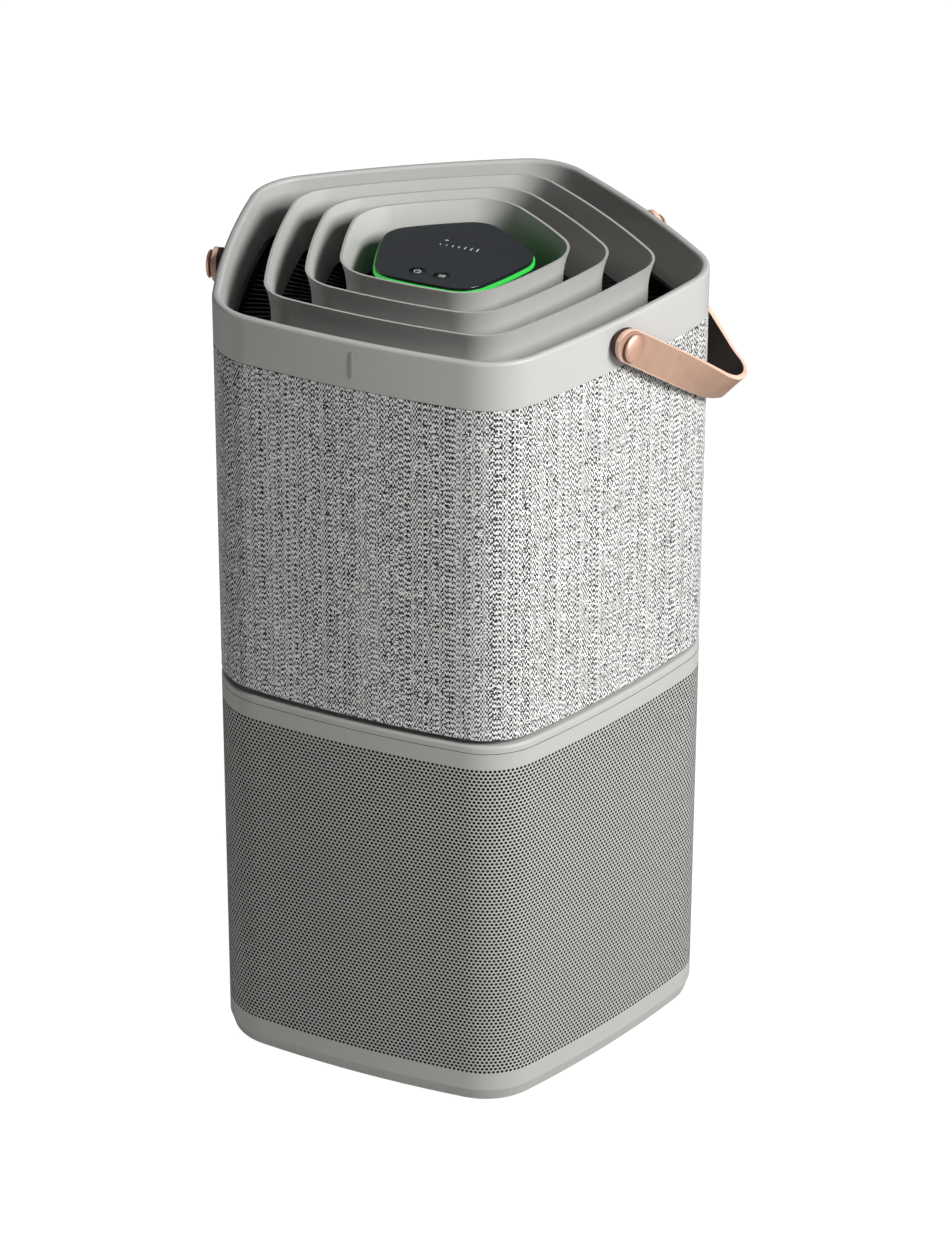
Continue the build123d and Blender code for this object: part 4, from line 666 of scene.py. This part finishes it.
def flat_strip(name, corner, hand, run, half_wide, thick, lift, materials, round_r):
    """A leather strip: a rounded-rectangle section carried along the strap's line.

    half_wide is the half width at each station, which falls to nothing at a round end, and lift
    moves the strip's middle off the line along the face's normal. Faces get their material by
    where they lie round the section: outer face, edges, inner face.
    """
    spot, across, face = strap_line(corner, hand, run)
    k = 6
    bend = np.linspace(0, pi / 2, k)
    # one quarter of the section's corner, then the rest by symmetry: width in the first column
    quarter = np.stack([np.sin(bend) - 1, np.cos(bend) - 1], -1) * round_r
    middle = np.linspace(-1, 1, 9)
    rows = []
    for sw, sf in ((1, 1), (1, -1), (-1, -1), (-1, 1)):
        part = quarter if sw * sf > 0 else quarter[::-1]
        rows.append(np.stack([np.full(k, float(sw)), part[:, 0] * sw, sf * (thick / 2) + part[:, 1] * sf], -1))
        if sw * sf < 0:
            inner = sw * middle[::-1][1:-1]
            rows.append(np.stack([inner, np.zeros(len(inner)), np.full(len(inner), sf * thick / 2)], -1))
    section = np.concatenate(rows)
    # each row: share of the half width, a fixed offset across, and the height over the strip's middle
    wide = np.maximum(half_wide, round_r + 0.02)[:, None]
    shrink = np.clip(half_wide / (round_r + 0.02), 0, 1)[:, None]
    w = (section[None, :, 0] * wide + section[None, :, 1]) * shrink
    f = np.broadcast_to(section[None, :, 2], w.shape) + lift
    points = spot[:, None] + across[:, None] * w[..., None] + face[:, None] * f[..., None]
    count = section.shape[0]
    faces = grid(len(run), count, False, True)
    caps = []
    for end, turned in ((0, False), (len(run) - 1, True)):
        m = count // 2
        a = end * count + np.arange(m - 1)
        b = end * count + (count - 1 - np.arange(m - 1))
        cap = np.stack([a, b, b - 1, a + 1], -1)
        caps.append(cap if not turned else cap[:, ::-1])
    height = section[:, 2]
    nxt = np.roll(height, -1)
    kind = np.where((height > thick / 2 - 0.01) & (nxt > thick / 2 - 0.01), 0,
                    np.where((height < -thick / 2 + 0.01) & (nxt < -thick / 2 + 0.01), 2, 1))
    index = np.tile(kind, len(run) - 1)
    all_faces = np.concatenate([faces, *caps])
    index = np.concatenate([index, np.ones(sum(len(c) for c in caps), int)])
    made = piece(name, points.reshape(-1, 3) * MM, all_faces, materials, index)
    close_up(made)
    return made, spot


def close_up(made):
    """Merges doubled points, drops flat faces and turns the faces outwards."""
    work = bmesh.new()
    work.from_mesh(made.data)
    bmesh.ops.remove_doubles(work, verts=work.verts, dist=2e-6)
    bmesh.ops.dissolve_degenerate(work, dist=1e-7, edges=work.edges)
    bmesh.ops.recalc_face_normals(work, faces=work.faces)
    work.to_mesh(made.data)
    work.free()


def strap_half(run):
    """Half the strap's width along its run: a half circle before the rivet, full width after it."""
    return np.where(run < 0, np.sqrt(np.maximum((STRAP_W / 2) ** 2 - run ** 2, 0)), STRAP_W / 2)


ROUND_END = -STRAP_W / 2 * np.cos(np.linspace(0, pi / 2, 22))
PAD_SHY = 0.25
STRAPS = (
    ("right", pi / 10, "right_strap", (("rear", 1, "right_rear_tab"), ("front", -1, "right_front_tab"))),
    ("left", 9 * pi / 10, "left_strap", (("front", 1, "left_front_tab"), ("rear", -1, "left_rear_tab"))),
)
for side, corner, loop, ends in STRAPS:
    for label, hand, tab in ends:
        run = np.concatenate([ROUND_END, np.linspace(0, PLAN_END, 110)[1:]])
        strip, spot = flat_strip("leather_%s_%s" % (side, label), corner, hand, run, strap_half(run),
                                 STRAP_T, 0.0, [FINISHES["leather"], LEATHER_EDGE, LEATHER_BACK], 0.7)
        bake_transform(strip)
        run = np.concatenate([ROUND_END, np.linspace(0, TAB_LONG, 12)[1:]])
        half = np.maximum(strap_half(run) - PAD_SHY, 0)
        pad, _ = flat_strip("washer_%s_%s" % (side, label), corner, hand, run, half, TAB_PAD,
                            -(STRAP_T + TAB_PAD) / 2, [LEATHER_PAD] * 3, 0.5)
        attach(pad, tab)
        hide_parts("tab_%s_%s" % (side, label))
    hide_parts("strap_" + side)

# ---- rivets ---------------------------------------------------------------------------------------
HEAD_OUT = STRAP_OUT + STRAP_T / 2 + 0.9
RIVET_PROFILE = ((0.0, 4.5), (2.6, 4.42), (5.0, 4.15), (7.0, 3.72), (8.6, 3.15), (9.5, 2.55), (9.95, 1.95),
                 (10.1, 1.5), (9.95, 1.25), (9.5, 1.12), (7.6, 1.05), (7.3, 0.9), (7.2, 0.1), (7.05, 0.0),
                 (3.0, 0.0), (3.0, -HEAD_OUT - 3.0), (0.0, -HEAD_OUT - 3.0))


def turned(name, profile, frames, material, steps=56):
    """A profile of (radius, height) points spun round an axis; frames gives each copy's origin and axis."""
    profile = np.asarray(profile, float)
    angle = np.arange(steps) * 2 * pi / steps
    points, faces = [], []
    for origin, axis in frames:
        axis = np.asarray(axis, float)
        side = unit(np.cross((0.0, 0.0, 1.0), axis))
        other = np.cross(axis, side)
        spoke = side * np.cos(angle)[:, None] + other * np.sin(angle)[:, None]
        ring = origin + profile[:, 1][:, None, None] * axis + profile[:, 0][:, None, None] * spoke
        faces.append(grid(len(profile), steps, False, True) + sum(len(p) for p in points))
        points.append(ring.reshape(-1, 3))
    made = piece(name, np.concatenate(points) * MM, np.concatenate(faces), [material])
    close_up(made)
    return made


RIVET_FRAMES = []
for k in (1, 2, 3, 4):
    out = np.array([cos(-pi / 2 + k * SIDE_STEP), sin(-pi / 2 + k * SIDE_STEP), 0.0])
    RIVET_FRAMES.append((out * (APOTHEM + HEAD_OUT) + (0, 0, RIVET_Z), out))
rivets = turned("domed_rivets", RIVET_PROFILE, RIVET_FRAMES, FINISHES["rivet"])
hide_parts("handle_rivets")
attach(rivets, "housing")


# ---- printed marks ----------------------------------------------------------------------------------
def printed(name, lines, height, width, body, dish=None):
    """Thin raised print: each line of (x, y) points becomes a closed ribbon of the given width.

    A ribbon is two offsets of the line, left and right by half the width, at two heights. With dish
    (centre x, centre y, radius, depth) the height follows that hollow.
    """
    points, faces, base = [], [], 0
    for line in lines:
        line = np.asarray(line, float)
        heading = unit(np.gradient(line, axis=0))
        side = np.stack([-heading[:, 1], heading[:, 0]], -1) * width / 2
        rows = []
        for lift in (0.0, 0.06):
            for sign in (1, -1):
                spot = line + side * sign
                z = np.full(len(line), height)
                if dish:
                    off = (spot[:, 0] - dish[0]) ** 2 + (spot[:, 1] - dish[1]) ** 2
                    z = height - dish[3] + off / (2 * dish[2])
                rows.append(np.stack([spot[:, 0], spot[:, 1], z + lift], -1))
        block = np.stack([rows[0], rows[1], rows[3], rows[2]], 1)
        points.append(block.reshape(-1, 3))
        m = len(line)
        faces.append(grid(m, 4, False, True) + base)
        faces.append(np.array([[0, 1, 2, 3], [4 * m - 1, 4 * m - 2, 4 * m - 3, 4 * m - 4]]) + base)
        base += 4 * m
    made = piece(name, np.concatenate(points) * MM, np.concatenate(faces), [PRINT], smooth=False)
    close_up(made)
    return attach(made, body)


def arc(x, y, r, low, high, count=20):
    """Points of an arc from one angle to another, in degrees."""
    a = np.radians(np.linspace(low, high, count))
    return np.stack([x + r * np.cos(a), y + r * np.sin(a)], -1)


def stroke(x0, y0, x1, y1):
    return np.linspace((x0, y0), (x1, y1), 4)


GLASS_FACE = GLASS_TOP + 0.01
ticks = [stroke(-13.5 + 4.6 * k, 10.6, -13.5 + 4.6 * k, 12.2 + 0.5 * k) for k in range(7)]
printed("level_marks", ticks, GLASS_FACE, 0.7, "housing")
printed("signal_mark", [arc(-12.2, 17.6, r, 45, 135, 12) for r in (1.0, 2.1)], GLASS_FACE, 0.45, "housing")
BUTTON_X, BUTTON_Y, DISH_R, DISH = 9.2, -35.0, 22.0, 0.7
for label, x, lines in (
    ("power_mark", -BUTTON_X, [arc(-BUTTON_X, BUTTON_Y, 2.3, 120, 420, 30),
                               stroke(-BUTTON_X, BUTTON_Y + 0.4, -BUTTON_X, BUTTON_Y + 3.0)]),
    ("mode_mark", BUTTON_X, [stroke(BUTTON_X - 2.4, BUTTON_Y + d, BUTTON_X + 2.4, BUTTON_Y + d)
                             for d in (-1.3, 0.0, 1.3)]),
):
    printed(label, lines, BUTTON_TOP + 0.01, 0.5, label.replace("mark", "key"), (x, BUTTON_Y, DISH_R, DISH))

# ---- stage: floor, light and camera --------------------------------------------------------------
scene = bpy.context.scene
scene.view_settings.view_transform = "Standard"

floor_mesh = bpy.data.meshes.new("floor")
reach = 14.0
floor_mesh.from_pydata([(-reach, -reach, 0), (reach, -reach, 0), (reach, reach, 0), (-reach, reach, 0)], [],
                       [(0, 1, 2, 3)])
floor = bpy.data.objects.new("floor", floor_mesh)
scene.collection.objects.link(floor)
floor_mat = bpy.data.materials.new("white_seamless_paper")
floor_mat.use_nodes = True
tree = floor_mat.node_tree
tree.nodes.clear()
seen = add(tree, "LightPath").outputs["Is Camera Ray"]
matt = add(tree, "BsdfDiffuse", {"Color": linear("#C4C4C2")})
white = add(tree, "BsdfDiffuse", {"Color": (1, 1, 1, 1)})
lit = add(tree, "Emission", {"Color": (1, 1, 1, 1), "Strength": 1.1})
soft = add(tree, "MixShader", {0: 0.90, 1: white, 2: lit})
both = add(tree, "MixShader", {0: seen, 1: matt, 2: soft})
add(tree, "OutputMaterial", {0: both})
floor_mesh.materials.append(floor_mat)

# a pale studio: bright round the horizon, dim overhead
world = bpy.data.worlds.new("studio")
scene.world = world
world.use_nodes = True
tree = world.node_tree
tree.nodes.clear()
split = add(tree, "SeparateXYZ", {0: add(tree, "TexCoord").outputs["Generated"]})
ramp = add(tree, "MapRange", {"Value": split.outputs[2], "From Min": 0.05, "From Max": 0.30,
                              "To Min": 0.32, "To Max": 0.02})
sky = add(tree, "Background", {"Color": (1, 1, 1, 1), "Strength": ramp})
add(tree, "OutputWorld", {0: sky})


def lamp(name, azimuth, elevation, distance, width, tall, power, tint="#FFFFFF", aim=0.3):
    """A soft rectangular lamp, turned to face the object; azimuth 0 is +X."""
    data = bpy.data.lights.new(name, "AREA")
    data.shape, data.size, data.size_y, data.energy = "RECTANGLE", width, tall, power
    data.color = linear(tint)[:3]
    made = bpy.data.objects.new(name, data)
    a, e = radians(azimuth), radians(elevation)
    way = Vector((cos(a) * cos(e), sin(a) * cos(e), sin(e)))
    made.matrix_world = Matrix.Translation(Vector((0, 0, aim)) + way * distance) @ \
        way.to_track_quat("Z", "Y").to_matrix().to_4x4()
    scene.collection.objects.link(made)
    return made


lamp("key", -14, 36, 2.6, 0.9, 0.9, 84, "#FFFFFF")
lamp("glass_sheen", 122, 30, 3.0, 1.0, 0.7, 0.5, "#F4F9FF", 0.55)
lamp("back", 120, 66, 2.6, 1.6, 1.0, 10, "#F8FBFF", 0.4)
lamp("left_card", 205, 0, 1.8, 1.0, 0.5, 4, "#FFFFFF", 0.27)

# the camera looks down on the object from the front, a little to its right
AZIMUTH, ELEVATION, ROLL = radians(24.6917), radians(28.9613), radians(0.1569)
DISTANCE, FOCAL = 3.431475, 36 * 4765.348 / 1260
SHIFT_SIDE, AIM_Z = 0.0154072, 0.2927167
back = Vector((sin(AZIMUTH) * cos(ELEVATION), -cos(AZIMUTH) * cos(ELEVATION), sin(ELEVATION)))
side = (-back).cross(Vector((0, 0, 1))).normalized()
top = side.cross(-back)
side_rolled = side * cos(ROLL) + top * sin(ROLL)
top_rolled = top * cos(ROLL) - side * sin(ROLL)
spot = Vector((0, 0, AIM_Z)) + side_rolled * SHIFT_SIDE + back * DISTANCE
lens = bpy.data.cameras.new("camera")
lens.sensor_fit, lens.sensor_height, lens.lens = "VERTICAL", 36, FOCAL
lens.clip_start, lens.clip_end = 0.1, 50
camera = bpy.data.objects.new("camera", lens)
camera.matrix_world = Matrix((
    (side_rolled.x, top_rolled.x, back.x, spot.x), (side_rolled.y, top_rolled.y, back.y, spot.y),
    (side_rolled.z, top_rolled.z, back.z, spot.z), (0, 0, 0, 1)))
scene.collection.objects.link(camera)
scene.camera = camera
